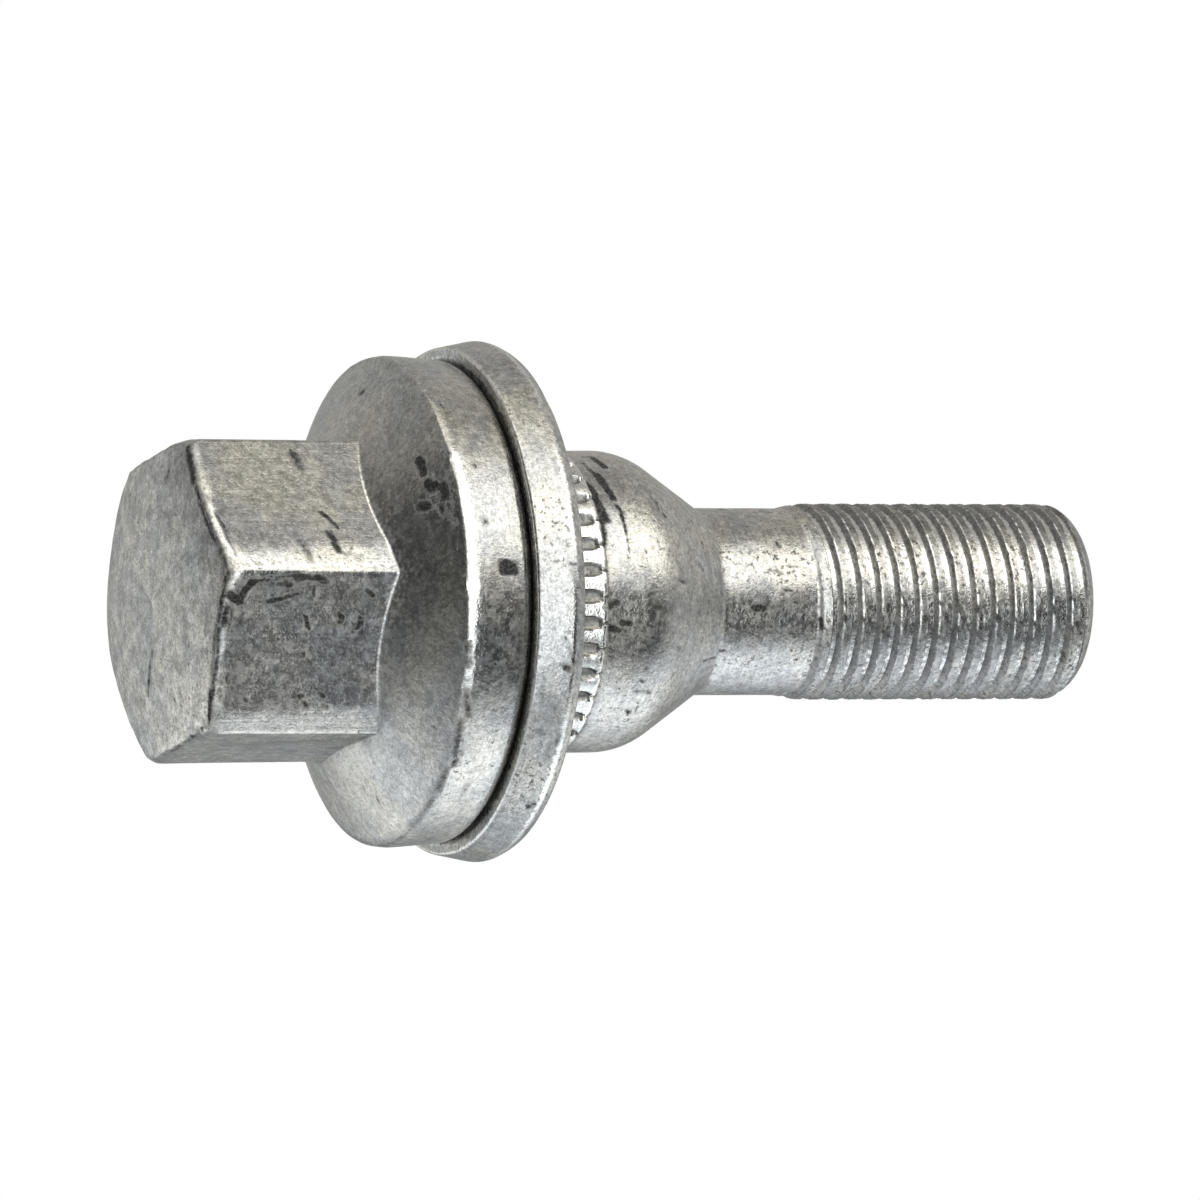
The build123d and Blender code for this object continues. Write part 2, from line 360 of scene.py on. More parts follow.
# Black smears: the height, turn and radius of their two ends, half their width and their strength
BOLT_GRIME = [
    # crown
    (0.9, -148, 9.7, 0.6, -133, 8.8, 0.33, 0.95), (0.6, -132, 8.8, 0.6, -116, 8.6, 0.15, 0.80),
    (0.6, -115, 8.6, 0.7, -102, 9.0, 0.13, 0.75), (0.7, -101, 9.1, 0.8, -92, 9.8, 0.13, 0.75),
    (1.1, -114, 9.0, 1.4, -99, 9.6, 0.11, 0.70), (0.9, -87, 9.7, 0.8, -72, 8.9, 0.16, 0.80),
    (0.8, -72, 8.9, 0.9, -56, 8.9, 0.16, 0.70), (0.9, -56, 8.9, 0.9, -42, 9.2, 0.16, 0.75),
    (0.9, -42, 9.2, 0.9, -31, 9.8, 0.18, 0.90), (1.4, -77, 9.4, 1.4, -64, 9.0, 0.28, 0.50),
    (1.2, -54, 9.0, 1.3, -41, 9.5, 0.24, 0.45), (0.9, -30, 9.9, 0.9, 6, 8.9, 0.20, 0.65),
    (0.0, 10, 3.2, 0.1, 22, 5.4, 0.34, 0.66), (0.5, -157, 8.2, 0.4, -157, 7.2, 0.38, 0.54),
    (0.2, -79, 6.1, 0.2, -63, 6.1, 0.22, 0.42), (0.2, 31, 6.2, 0.5, 7, 7.9, 0.15, 0.54),
    (0.2, -8, 5.6, 0.5, -24, 8.2, 0.15, 0.54), (0.4, -16, 7.1, 0.5, -3, 8.2, 0.15, 0.48),
    (0.0, 104, 2.7, 0.0, 51, 2.9, 0.45, 0.30), (0.0, -127, 3.3, -0.0, -80, 3.8, 0.60, 0.26),
    # upper flat
    (7.3, -143, 9.8, 7.6, -136, 9.4, 0.41, 0.90), (4.7, -127, 9.1, 4.7, -122, 9.0, 0.30, 0.54),
    (7.8, -114, 9.1, 8.2, -111, 9.1, 0.19, 1.08), (8.3, -110, 9.1, 8.6, -106, 9.3, 0.19, 1.08),
    (7.9, -104, 9.4, 8.1, -100, 9.6, 0.30, 1.02), (8.0, -99, 9.6, 8.2, -96, 9.8, 0.26, 1.08),
    (8.4, -93, 10.1, 9.1, -97, 9.8, 0.19, 0.96), (6.0, -100, 9.6, 6.3, -92, 10.2, 0.38, 0.72),
    (5.0, -108, 9.2, 5.3, -105, 9.3, 0.30, 0.54), (1.1, -114, 9.1, 1.5, -104, 9.4, 0.15, 0.90),
    (1.4, -100, 9.6, 1.6, -93, 10.1, 0.15, 0.60), (1.8, -143, 9.8, 3.4, -143, 9.8, 0.38, 0.48),
    (3.8, -114, 9.1, 3.5, -107, 9.2, 0.22, 0.42), (3.6, -135, 9.3, 4.9, -132, 9.2, 0.38, 0.30),
    # lower flat
    (1.2, -80, 9.6, 1.9, -78, 9.5, 0.30, 1.32), (1.8, -79, 9.5, 2.5, -85, 9.9, 0.26, 1.32),
    (1.1, -77, 9.4, 1.0, -69, 9.0, 0.22, 0.84), (2.6, -85, 10.0, 5.5, -87, 10.1, 0.26, 0.78),
    (4.3, -84, 9.9, 4.9, -84, 9.8, 0.30, 0.90), (5.3, -86, 10.0, 6.2, -86, 10.0, 0.30, 1.02),
    (6.6, -86, 10.0, 7.1, -85, 9.9, 0.30, 1.14), (3.6, -78, 9.5, 4.4, -79, 9.5, 0.18, 1.32),
    (4.4, -79, 9.5, 5.7, -81, 9.7, 0.15, 1.20), (6.4, -84, 9.9, 6.5, -80, 9.6, 0.16, 0.96),
    (6.1, -73, 9.2, 6.4, -68, 9.1, 0.16, 1.32), (6.3, -67, 9.1, 6.3, -62, 9.0, 0.15, 1.20),
    (6.2, -59, 9.0, 6.3, -57, 9.0, 0.19, 0.96), (8.2, -74, 9.3, 8.5, -72, 9.2, 0.19, 1.32),
    (8.2, -71, 9.2, 8.4, -70, 9.1, 0.19, 1.08), (9.7, -72, 9.2, 9.6, -69, 9.1, 0.21, 1.32),
    (9.5, -68, 9.1, 9.3, -67, 9.1, 0.19, 1.08), (9.9, -82, 9.7, 10.3, -80, 9.6, 0.19, 1.08),
    (9.1, -83, 9.8, 9.4, -76, 9.3, 0.19, 0.48), (6.3, -77, 9.4, 7.1, -78, 9.4, 0.19, 0.72),
    (7.1, -54, 9.1, 7.6, -51, 9.1, 0.22, 0.60), (8.4, -56, 9.0, 8.3, -52, 9.1, 0.19, 0.60),
    (6.3, -42, 9.5, 6.5, -42, 9.5, 0.20, 1.32), (7.6, -43, 9.4, 7.9, -42, 9.5, 0.22, 1.02),
    (7.9, -39, 9.7, 8.2, -38, 9.7, 0.19, 0.84), (6.6, -40, 9.6, 7.0, -38, 9.7, 0.22, 0.84),
    (9.3, -39, 9.7, 9.7, -39, 9.6, 0.19, 0.72), (2.9, -41, 9.5, 3.1, -40, 9.6, 0.19, 0.96),
    (2.0, -45, 9.3, 2.2, -43, 9.4, 0.26, 0.72), (3.8, -53, 9.1, 3.4, -48, 9.2, 0.15, 0.66),
    (2.8, -62, 9.0, 2.8, -55, 9.0, 0.19, 0.48), (3.1, -79, 9.5, 2.5, -73, 9.2, 0.26, 0.48),
    # slope
    (13.3, -119, 12.6, 13.3, -115, 12.6, 0.32, 1.75), (13.4, -111, 12.8, 13.5, -109, 13.0, 0.36, 1.65),
    (13.8, -108, 13.5, 13.9, -105, 13.6, 0.32, 1.50), (12.9, -106, 11.9, 13.2, -105, 12.4, 0.32, 1.45),
    (13.6, -104, 13.1, 13.8, -101, 13.4, 0.28, 1.30), (13.9, -100, 13.7, 14.1, -97, 14.0, 0.26, 0.72),
    (14.2, -120, 14.2, 14.3, -115, 14.4, 0.30, 0.72), (13.9, -124, 13.6, 14.1, -122, 14.1, 0.34, 0.60),
    (12.9, -125, 11.8, 13.0, -122, 12.1, 0.22, 0.72), (14.2, -159, 14.3, 14.3, -150, 14.3, 0.34, 0.60),
    (14.3, -134, 14.3, 14.4, -129, 14.5, 0.26, 0.48), (14.2, -111, 14.2, 14.2, -102, 14.2, 0.30, 0.60),
    (13.6, -44, 13.2, 13.7, -44, 13.3, 0.16, 0.96), (12.6, -1, 11.3, 12.7, -1, 11.4, 0.15, 1.20),
    (12.9, -7, 11.9, 13.1, -5, 12.3, 0.15, 0.84), (13.4, -11, 12.8, 13.5, -10, 13.1, 0.15, 0.72),
    (12.5, -50, 11.2, 13.1, -51, 12.2, 0.26, 0.42),
    # rim
    (16.5, -87, 14.5, 17.1, -87, 14.4, 0.25, 1.70), (16.5, -86, 14.5, 17.2, -86, 14.4, 0.25, 1.70),
    (16.5, -85, 14.5, 17.2, -85, 14.4, 0.25, 1.70), (15.3, -81, 14.6, 15.4, -80, 14.6, 0.21, 1.20),
    (15.2, -94, 14.6, 15.5, -91, 14.6, 0.22, 0.72), (15.5, -98, 14.6, 15.8, -96, 14.6, 0.26, 0.60),
    (15.6, -117, 14.6, 16.0, -116, 14.6, 0.30, 0.60), (15.5, -113, 14.6, 15.6, -111, 14.6, 0.22, 0.60),
    (15.1, -122, 14.6, 15.3, -119, 14.6, 0.18, 1.02), (14.8, -131, 14.7, 15.2, -128, 14.6, 0.22, 0.72),
    (15.5, -76, 14.6, 16.2, -74, 14.5, 0.34, 0.60), (16.5, -68, 14.5, 17.5, -66, 14.3, 0.26, 0.84),
    (15.9, -63, 14.6, 16.6, -64, 14.5, 0.19, 0.96), (16.9, -42, 14.5, 17.1, -41, 14.5, 0.16, 1.20),
    (16.2, -30, 14.5, 16.5, -23, 14.5, 0.34, 0.48), (14.4, -68, 14.6, 14.5, -63, 14.6, 0.34, 0.84),
    (14.5, -57, 14.7, 14.9, -51, 14.7, 0.38, 0.72), (14.5, -49, 14.7, 14.8, -37, 14.7, 0.34, 0.72),
    (14.5, -36, 14.7, 14.5, -28, 14.6, 0.30, 0.66), (14.4, -24, 14.6, 14.3, -11, 14.4, 0.26, 0.60),
    (15.0, -71, 14.7, 15.2, -73, 14.6, 0.26, 0.72),
    # pilot
    (26.6, -151, 9.0, 27.3, -151, 9.0, 0.16, 0.85), (27.2, -149, 9.0, 27.4, -141, 9.0, 0.24, 1.60),
    (26.2, -144, 9.0, 26.4, -135, 9.0, 0.24, 0.85), (26.6, -135, 9.0, 26.7, -128, 9.0, 0.30, 1.50),
    (26.7, -128, 9.0, 26.9, -121, 9.0, 0.26, 1.30), (25.6, -127, 9.1, 25.8, -118, 9.0, 0.40, 0.95),
    (25.8, -118, 9.0, 26.1, -111, 9.0, 0.34, 1.05), (25.7, -110, 9.0, 25.6, -101, 9.1, 0.24, 0.75),
    (27.0, -117, 9.0, 27.2, -114, 9.0, 0.19, 1.10), (27.1, -114, 9.0, 27.2, -106, 9.0, 0.15, 1.10),
    (27.2, -106, 9.0, 27.1, -97, 9.0, 0.13, 0.85),
    (25.4, -76, 9.3, 26.3, -78, 9.0, 0.26, 0.84), (25.9, -68, 9.0, 26.4, -67, 9.0, 0.26, 1.08),
    (26.5, -70, 9.0, 27.0, -70, 9.0, 0.26, 1.20), (26.8, -67, 9.0, 26.9, -65, 9.0, 0.22, 0.84),
    (27.7, -69, 9.0, 28.4, -63, 9.0, 0.38, 0.42), (27.2, -58, 9.0, 27.6, -57, 9.0, 0.22, 0.72),
    (28.2, -55, 9.0, 28.7, -49, 9.0, 0.16, 0.72), (28.0, -32, 9.0, 28.2, -30, 9.0, 0.18, 1.08),
    (28.1, -42, 9.0, 29.1, -41, 8.9, 0.26, 0.60), (28.2, -47, 9.0, 28.6, -46, 9.0, 0.19, 0.72),
    (30.3, -60, 8.5, 30.8, -58, 8.2, 0.26, 0.60),
    # cone
    (29.6, -123, 8.8, 30.0, -118, 8.7, 0.30, 0.72), (29.9, -117, 8.7, 30.3, -113, 8.5, 0.22, 0.84),
    (30.3, -113, 8.5, 30.8, -110, 8.2, 0.34, 0.48), (30.3, -101, 8.5, 30.5, -97, 8.4, 0.30, 0.48),
    (30.6, -92, 8.3, 30.9, -89, 8.1, 0.22, 0.72), (30.3, -87, 8.5, 31.1, -86, 8.0, 0.22, 0.72),
    (30.2, -83, 8.6, 30.3, -78, 8.5, 0.26, 0.48), (32.5, -96, 7.0, 32.7, -94, 7.0, 0.22, 0.96),
    (32.1, -83, 7.4, 32.2, -76, 7.2, 0.22, 0.48), (33.4, -79, 6.4, 33.9, -84, 6.1, 0.26, 0.60),
    # shank
    (36.4, -74, 5.6, 37.2, -74, 5.6, 0.21, 1.44), (35.7, -78, 5.6, 36.0, -75, 5.6, 0.19, 0.84),
    (37.1, -77, 5.6, 37.5, -80, 5.6, 0.19, 0.96), (37.9, -77, 5.6, 38.4, -75, 5.6, 0.22, 0.84),
    (38.8, -75, 5.6, 39.5, -79, 5.6, 0.22, 0.72), (35.1, -76, 5.6, 35.4, -67, 5.6, 0.19, 0.60),
    (37.2, -64, 5.6, 37.7, -62, 5.6, 0.20, 0.72), (37.9, -97, 5.6, 38.4, -96, 5.6, 0.19, 0.84),
    (39.0, -100, 5.6, 39.7, -100, 5.6, 0.16, 0.72), (38.4, -85, 5.6, 39.0, -85, 5.6, 0.20, 0.72),
    (40.3, -88, 5.6, 40.3, -80, 5.6, 0.18, 1.32), (40.0, -76, 5.6, 40.2, -74, 5.6, 0.22, 1.32),
    (40.8, -68, 5.8, 40.9, -62, 5.8, 0.20, 1.56), (38.6, -117, 5.6, 38.5, -114, 5.6, 0.16, 0.96),
    (35.7, -119, 5.6, 35.6, -104, 5.6, 0.14, 0.72), (34.6, -47, 5.7, 35.2, -46, 5.6, 0.16, 0.84),
    (35.5, -54, 5.6, 35.9, -47, 5.6, 0.16, 0.60), (33.3, -45, 6.5, 34.4, -43, 5.8, 0.14, 0.72),
]
# Faint dark smudges, given like the smears
BOLT_SMUDGES = [
    (4.4, -10, 9.1, 11.6, -20, 9.6, 0.60, 0.35), (1.6, -83, 9.8, 5.5, -84, 9.9, 0.48, 0.35),
    (1.6, -77, 9.4, 2.0, -44, 9.4, 0.48, 0.25), (0.6, -151, 8.5, 0.6, -104, 8.4, 1.20, 0.22),
    (7.5, -82, 9.7, 9.8, -79, 9.5, 0.72, 0.20),
]
# Places on the far side for more smears: lowest height, highest height and radius
BOLT_PLACES = [(2.0, 10.0, 9.4), (12.8, 13.6, 12.6), (15.0, 16.8, 14.55), (26.2, 28.5, 9.05),
               (30.5, 32.5, 7.9), (35.5, 40.0, 5.62)]
# Dents: the height, turn and radius of each, half its length, half its width and its depth
BOLT_DENTS = [
    (0.9, -90, 10.2, 0.45, 0.5, 0.16), (2.0, -82, 9.7, 0.5, 0.5, 0.06), (9.3, -95, 9.9, 0.5, 0.4, 0.05),
    (5.5, -88, 10.0, 0.6, 0.3, 0.05), (14.4, -82, 14.7, 0.3, 0.5, 0.10), (14.4, -112, 14.7, 0.3, 0.6, 0.08),
    (14.4, -58, 14.7, 0.3, 0.4, 0.09), (14.4, -30, 14.7, 0.3, 0.6, 0.08), (16.9, -86, 14.5, 0.25, 0.25, 0.05),
    (27.0, -136, 9.0, 0.5, 0.8, 0.03), (29.0, -60, 9.0, 0.9, 1.1, 0.03), (40.6, -74, 5.7, 0.3, 0.35, 0.06),
    (1.0, 30, 10.2, 0.5, 0.5, 0.12), (1.0, -150, 10.2, 0.4, 0.6, 0.10), (0.9, 150, 10.2, 0.5, 0.5, 0.14),
    (14.4, 70, 14.7, 0.3, 0.6, 0.10), (14.4, 140, 14.7, 0.3, 0.5, 0.09),
]
# How pitted the plating is, by height in millimetres
PITTED_HEIGHTS = [(0, 0.35), (2, 0.35), (11, 0.35), (12, 0.15), (14.3, 0.15), (14.6, 0.4), (18, 0.4),
                  (22, 0.25), (25.5, 0.25), (26, 0.5), (30, 0.65), (34, 0.7), (36, 0.85), (60, 1.0)]
# How strong the smears are, and how many more lie on the far side, with their seed
GRIME_STRENGTH = 1.15
BOLT_STREWN = (50, 31)
# Ragged edges: waves around the axis with the seed of their phases, and how far they waver
CROWN_RAGGED = ((7, 13, 24, 41), 5)
CROWN_WAVER = 0.35
LIP_RAGGED = ((11, 17, 31, 47), 9)
LIP_WAVER = 0.3
BAND_RAGGED = ((29, 53, 72, 101), 3)
BAND_WAVER = 0.06 * MM
WORN_PATCHES = ((2, 5, 9, 16), 15)
# Low bumps all over: waves around the axis and along it, with the seed of their phases, and their height
BOLT_BUMPS = (((2, 0.5), (5, -0.8), (9, 0.7), (13, 1.9), (19, -1.3)), 21)
BUMP_HEIGHT = 0.012 * MM
# Bright wear all round and in patches, and a painted highlight about one turn: the three strengths, with that
# turn, its half width and its power
CORNER_WEAR_AND_HIGHLIGHT = (0.2, 0.0, 0.3, -90, 25, 2)
BEVEL_WEAR_AND_HIGHLIGHT = (0.2, 0.15, 0.55, -105, 18, 2)
FOOT_WEAR_AND_HIGHLIGHT = (0.12, 0.0, 0.6, -115, 25, 4)
LIP_WEAR_AND_HIGHLIGHT = (0.2, 0.2, 0.85, -84, 28, 4)
# How far the wear and the painted highlight of a corner reach to its two sides
CORNER_REACH = (1.0 * MM, 0.2 * MM)
# Blend between a flat and its worn facets
FACET_BLEND = 0.09 * MM
# Share of the way from the axis to a flat at which the crown starts to drop towards the corners
DROP_START = 0.92
# Share of the radius of the crown's first ring, and how much its rings gather towards the edge
FIRST_RING = 0.06
RING_GATHER = 1.4
# Grime on the crown's brim: all round, in patches, and the shares of the radius between which it sets in
BRIM_GRIME = (0.18, 0.22)
BRIM_SHARES = (0.92, 0.99)
# Grime on the crown's bevel, and painted shade in the crease between the flats and the slope, at the foot of
# the flats and at the top of the slope
BEVEL_GRIME, FOOT_SHADE, SLOPE_SHADE = 0.15, 0.4, 0.25
# Angles between which the wear and the painted highlight of a rounded edge rise and fall as a sine, on the
# bevel and on the lip
BEVEL_ARCH = (0.3, 2.6)
LIP_ARCH = (0.5, 2.6)
# How far the head's columns gather at the corners, and the rows over which they spread out again
COLUMN_GATHER = 0.1
SPREAD_ROWS = 15


def corner_angle(turn):
    """Angle of each column from the hexagon's nearest corner."""
    sixth = np.pi / 3
    return (turn - np.pi / 6 + sixth / 2) % sixth - sixth / 2


def hex_radius(turn, sizes, wear_width):
    """Distance from the axis to a hexagon with rounded and worn corners, in each direction.

    Measured from the nearest corner, a ray meets the flat at apothem / cos(30 degrees - angle), or, close to
    the corner, the circle of the rounding: d cos(angle) + sqrt(r^2 - d^2 sin^2(angle)), with its centre at d.
    Beside each corner the spanner has worn a narrow facet, turned a little from the flat: a line at its own
    distance from the axis. Where it cuts in, the two radii a and b blend to b + (a - b) h - k h (1 - h), with
    h = 1/2 + (b - a) / 2k.
    """
    apothem, rounding = sizes.across_flats / 2, sizes.corner_radius
    half = np.pi / 6
    signed = corner_angle(turn)
    angle = np.abs(signed)
    centre = (apothem - rounding) / math.cos(half)
    tangent = math.atan2(rounding * math.sin(half), centre + rounding * math.cos(half))
    flat = apothem / np.cos(half - angle)
    inside = np.clip(rounding**2 - (centre * np.sin(angle)) ** 2, 0, None)
    radius = np.where(angle < tangent, centre * np.cos(angle) + np.sqrt(inside), flat)
    start = math.tan(half) * apothem - wear_width
    distance = apothem * math.cos(sizes.wear_angle) + start * math.sin(sizes.wear_angle)
    facet = distance / np.cos(signed + (half - sizes.wear_angle))
    share = np.clip(0.5 + (facet - radius) / (2 * FACET_BLEND), 0, 1)
    return facet + (radius - facet) * share - FACET_BLEND * share * (1 - share)


def crown_height(radius, sizes):
    """Height of the spherical crown above its flat land.

    It is level out to the land's edge, and lower than the sphere towards the hexagon's corners.
    """
    land = math.sqrt(sizes.crown_radius**2 - (sizes.crown_land / 2) ** 2)
    dome = np.clip(land - np.sqrt(sizes.crown_radius**2 - radius**2), 0, None)
    apothem = sizes.across_flats / 2
    start, corner = DROP_START * apothem, apothem / math.cos(np.pi / 6)
    return dome + sizes.corner_drop * np.clip((radius - start) / (corner - start), 0, None) ** 2


def straight(start, end, steps):
    """Points evenly along the line between two points of each column, without the first."""
    t = np.linspace(0, 1, steps + 1)[1:, None, None]
    return np.stack(start)[None] * (1 - t) + np.stack(end)[None] * t


def edge_wear_and_highlight(degrees, patches, all_round, patchy, painted_highlight, middle, width, power):
    """How worn an edge is at each turn, all round and in patches, with a painted highlight added about one
    turn.
    """
    return all_round + patchy * patches + painted_highlight * np.exp(-(((degrees - middle) / width) ** power))


def graded(first, last, rows):
    """Even steps from the first row to the last."""
    return np.linspace(first, last, rows)[:, None]


def head_rows(turn, sizes):
    """Radius and height of each row from the crown to the flange's lip, with its wear and painted highlight,
    and its grime and painted shade.

    Each column is one outline: the crown's circle, a worn bevel, the flat, a blend, the slope and a worn lip.
    """
    radius = hex_radius(turn, sizes, sizes.wear_width)
    foot_radius = hex_radius(turn, sizes, sizes.wear_width + sizes.wear_spread)
    edge = sizes.crown_edge * (1 + CROWN_WAVER * ring_ripple(turn, *CROWN_RAGGED))
    share = 1 - (1 - graded(FIRST_RING, 1, CROWN_ROWS)) ** RING_GATHER
    inner = share * (radius - edge)[None]
    crown = np.stack([inner, crown_height(inner, sizes)], 1)
    brim = crown_height(radius, sizes)
    bevel_start = (radius - edge, crown_height(radius - edge, sizes))
    bevel_end = (radius, brim + edge * sizes.crown_bevel / sizes.crown_edge)
    bevel = worn_corner(bevel_start, (radius, brim), bevel_end, BEVEL_ROWS)[1:]

    flange_radius = np.full_like(turn, sizes.flange_diameter / 2)
    rim = np.full_like(turn, sizes.head_height - sizes.flange_rim)
    run, rise = math.cos(sizes.flange_slope), math.sin(sizes.flange_slope)
    foot = rim - (flange_radius - foot_radius) * math.tan(sizes.flange_slope)
    blend_start = (foot_radius, foot - sizes.flange_blend)
    blend_end = (foot_radius + sizes.flange_blend * run, foot + sizes.flange_blend * rise)
    flat = straight(bevel_end, blend_start, FLAT_ROWS)
    foot_curve = bezier_corner(blend_start, (foot_radius, foot), blend_end, FOOT_ROWS)[1:]
    lip = 1 + LIP_WAVER * ring_ripple(turn, *LIP_RAGGED)
    lip_start = (flange_radius - sizes.flange_lip * lip * run, rim - sizes.flange_lip * lip * rise)
    lip_end = (flange_radius - sizes.lip_bevel * math.tan(sizes.flange_taper), rim + sizes.lip_bevel * lip)
    slope = straight(blend_end, lip_start, SLOPE_ROWS)
    lip_curve = worn_corner(lip_start, (flange_radius, rim), lip_end, LIP_ROWS)[1:]

    degrees = (np.degrees(turn) + 270) % 360 - 270
    patches = ring_ripple(turn, *WORN_PATCHES)
    from_corner = corner_angle(turn) * radius
    near_corner = np.exp(-((from_corner / np.where(from_corner < 0, *CORNER_REACH)) ** 2))
    # Wear of each edge, with a painted highlight of bare steel about the turns that face the camera
    corner_wear_and_highlight, bevel_wear_and_highlight, foot_wear_and_highlight, lip_wear_and_highlight = (
        edge_wear_and_highlight(degrees, patches, *wear) for wear in (CORNER_WEAR_AND_HIGHLIGHT, BEVEL_WEAR_AND_HIGHLIGHT, FOOT_WEAR_AND_HIGHLIGHT, LIP_WEAR_AND_HIGHLIGHT))
    all_round, patchy = BRIM_GRIME
    blocks = [
        (crown, 0, (all_round + patchy * patches) * smooth_step(*BRIM_SHARES, share)),
        (bevel, bevel_wear_and_highlight * np.sin(graded(*BEVEL_ARCH, len(bevel))), BEVEL_GRIME),
        (flat, corner_wear_and_highlight * near_corner, 0),
        # Painted shade, darker into the crease between the flats and the slope
        (foot_curve, foot_wear_and_highlight * graded(1, 0, len(foot_curve)), graded(0, FOOT_SHADE, len(foot_curve))),
        (slope, 0, graded(SLOPE_SHADE, 0, len(slope))),
        (lip_curve, lip_wear_and_highlight * np.sin(graded(*LIP_ARCH, len(lip_curve))), 0),
    ]
    rows = np.concatenate([block[0] for block in blocks])
    wear_and_highlight, grime_and_shade = (
        np.concatenate([np.broadcast_to(block[kind], (len(block[0]), len(turn))) for block in blocks])
        for kind in (1, 2))
    return rows, wear_and_highlight, grime_and_shade, len(crown), len(bevel) + len(flat)


def turned_rows(outline, columns):
    """Rows of a turned surface: the same radius and height in every column."""
    return np.repeat(np.array(outline)[:, :, None], columns, 2)


def line_points(start, end, steps):
    """Points evenly along a line in the plane of radius and height, without the first."""
    return [(start[0] + t * (end[0] - start[0]), start[1] + t * (end[1] - start[1]))
            for t in np.linspace(0, 1, steps + 1)[1:]]


def arc_points(centre, width, height, start, end, steps):
    """Points of an ellipse's arc in the plane of radius and height, without the first."""
    angle = np.radians(np.linspace(start, end, steps + 1)[1:])
    return [(centre[0] + width * math.cos(a), centre[1] + height * math.sin(a)) for a in angle]


# Where the rim starts below the lip, as a share of its bevel, and the gap between the neck and the band
RIM_START = 1.3
BAND_GAP = 0.02 * MM
# Rows of the rim and its round without painted shade, and the painted shade on the rows after them, under the
# flange and in the washer
UNSHADED_ROWS = 7
NECK_SHADE = (0.2, 1.0)


def neck_rows(lip_radius, sizes):
    """Rows of the flange's rim, its rounded underside and the neck in the washer, with the painted shade
    under the flange and in the washer.
    """
    top, pilot = sizes.head_height, sizes.pilot_diameter / 2
    under = sizes.flange_diameter / 2 - sizes.flange_rim * math.tan(sizes.flange_taper)
    centre = (under - sizes.round_width, top - sizes.round_height)
    start = (lip_radius, top - sizes.flange_rim + RIM_START * sizes.lip_bevel)
    outline = line_points(start, (under, centre[1]), RIM_ROWS)
    outline += arc_points(centre, sizes.round_width, sizes.round_height, 0, 90, UNDERSIDE_ROWS)
    outline += [(pilot, top), (pilot, sizes.band_start - BAND_GAP)]
    # Painted shade, darker from the flange's underside into the washer
    grime_and_shade = np.concatenate([np.zeros(UNSHADED_ROWS), np.linspace(*NECK_SHADE, len(outline) - UNSHADED_ROWS)])
    return turned_rows(outline, HEAD_COLUMNS), grime_and_shade[:, None]


# Columns of one tooth, as shares of its pitch from the middle of a groove, close together at its edges
TOOTH_COLUMNS = np.array([0, 0.11, 0.20, 0.255, 0.285, 0.39, 0.5, 0.61, 0.715, 0.745, 0.80, 0.89])
# Rows of the band, as shares of its length, close together at the grooves' round ends
BAND_ROWS = np.array([0, 0.03, 0.2, 0.4, 0.55, 0.66, 0.72, 0.77, 0.81, 0.85, 0.88, 0.905, 0.935, 0.965, 1.0])
# Length of a groove as a share of the band's, and of its round end as a share of half its width
GROOVE_SHARE = 0.9
GROOVE_RUN_OUT = 1.6
GROOVE_LEAST_WIDTH = 1e-6 * MM
# Chamfers at the band's two ends, with the shares of its length between which they set in
BAND_CHAMFERS = (0.12 * MM, 0.2 * MM)
LOW_CHAMFER, HIGH_CHAMFER = (0, 0.05), (0.95, 1.0)
# How far the teeth are crowned, from which share of their width, and how much grooves rise to their ends
TOOTH_CROWN = 0.05 * MM
TOOTH_CROWN_FROM = 0.3
GROOVE_RISE = 0.3
# How worn the teeth's ends and tops are, and the cut between which a groove gets painted shade
TOOTH_ENDS, TOOTH_TOPS = 0.75, 0.7
TOOTH_END_SHARES = (0.88, 0.96)
SHADE_CUTS = (0.1, 0.7)


def band_rows(turn, sizes):
    """Radius and height of the toothed band, with how worn it is and where its grooves get painted shade.

    Each groove has a round end, so its half width w goes from the full one to none along an ellipse. It is
    cut depth sqrt(1 - (s / w)^3) deep, for s the distance around from its middle.
    """
    crest = sizes.pilot_diameter / 2 + sizes.band_proud
    half = sizes.groove_width / 2
    pitch = 2 * np.pi / TEETH
    around = np.abs((turn + pitch / 2) % pitch - pitch / 2) * crest
    share = BAND_ROWS[:, None]
    end = sizes.band_start + sizes.band_length + BAND_WAVER * ring_ripple(turn, *BAND_RAGGED)
    height = sizes.band_start + share * (end - sizes.band_start)[None]
    left = GROOVE_SHARE * sizes.band_length - (height - sizes.band_start)
    past = np.clip(1 - left / (GROOVE_RUN_OUT * half), 0, 1)
    width = half * np.sqrt(1 - past**2) + GROOVE_LEAST_WIDTH
    cut = np.sqrt(np.clip(1 - (around[None] / width) ** 3, 0, None))
    low, high = BAND_CHAMFERS
    chamfer = low * (1 - smooth_step(*LOW_CHAMFER, share)) + high * smooth_step(*HIGH_CHAMFER, share)
    taper = sizes.band_taper * (1 - share)
    middle = pitch * crest / 2
    edge = np.clip((middle - around) / (middle - half) - TOOTH_CROWN_FROM, 0, 1 - TOOTH_CROWN_FROM)
    depth = sizes.groove_depth * (1 - GROOVE_RISE * share) * cut
    radius = crest - taper - TOOTH_CROWN * edge**2 - depth - chamfer
    wear_and_highlight = TOOTH_ENDS * smooth_step(*TOOTH_END_SHARES, share) + TOOTH_TOPS * (cut < 0.3)
    # The last value says where the grooves get painted shade
    return np.stack([radius, height], 1), wear_and_highlight * (share < 0.98), smooth_step(*SHADE_CUTS, cut)


# Share of the plain pilot at its first row, and the painted shadow on its first rows beside the band's end
PILOT_START = 0.04
PILOT_SHADOW = [0.55, 0.3, 0.15]
# Height of the shank's first row above the cone
SHANK_STEP = 0.5 * MM


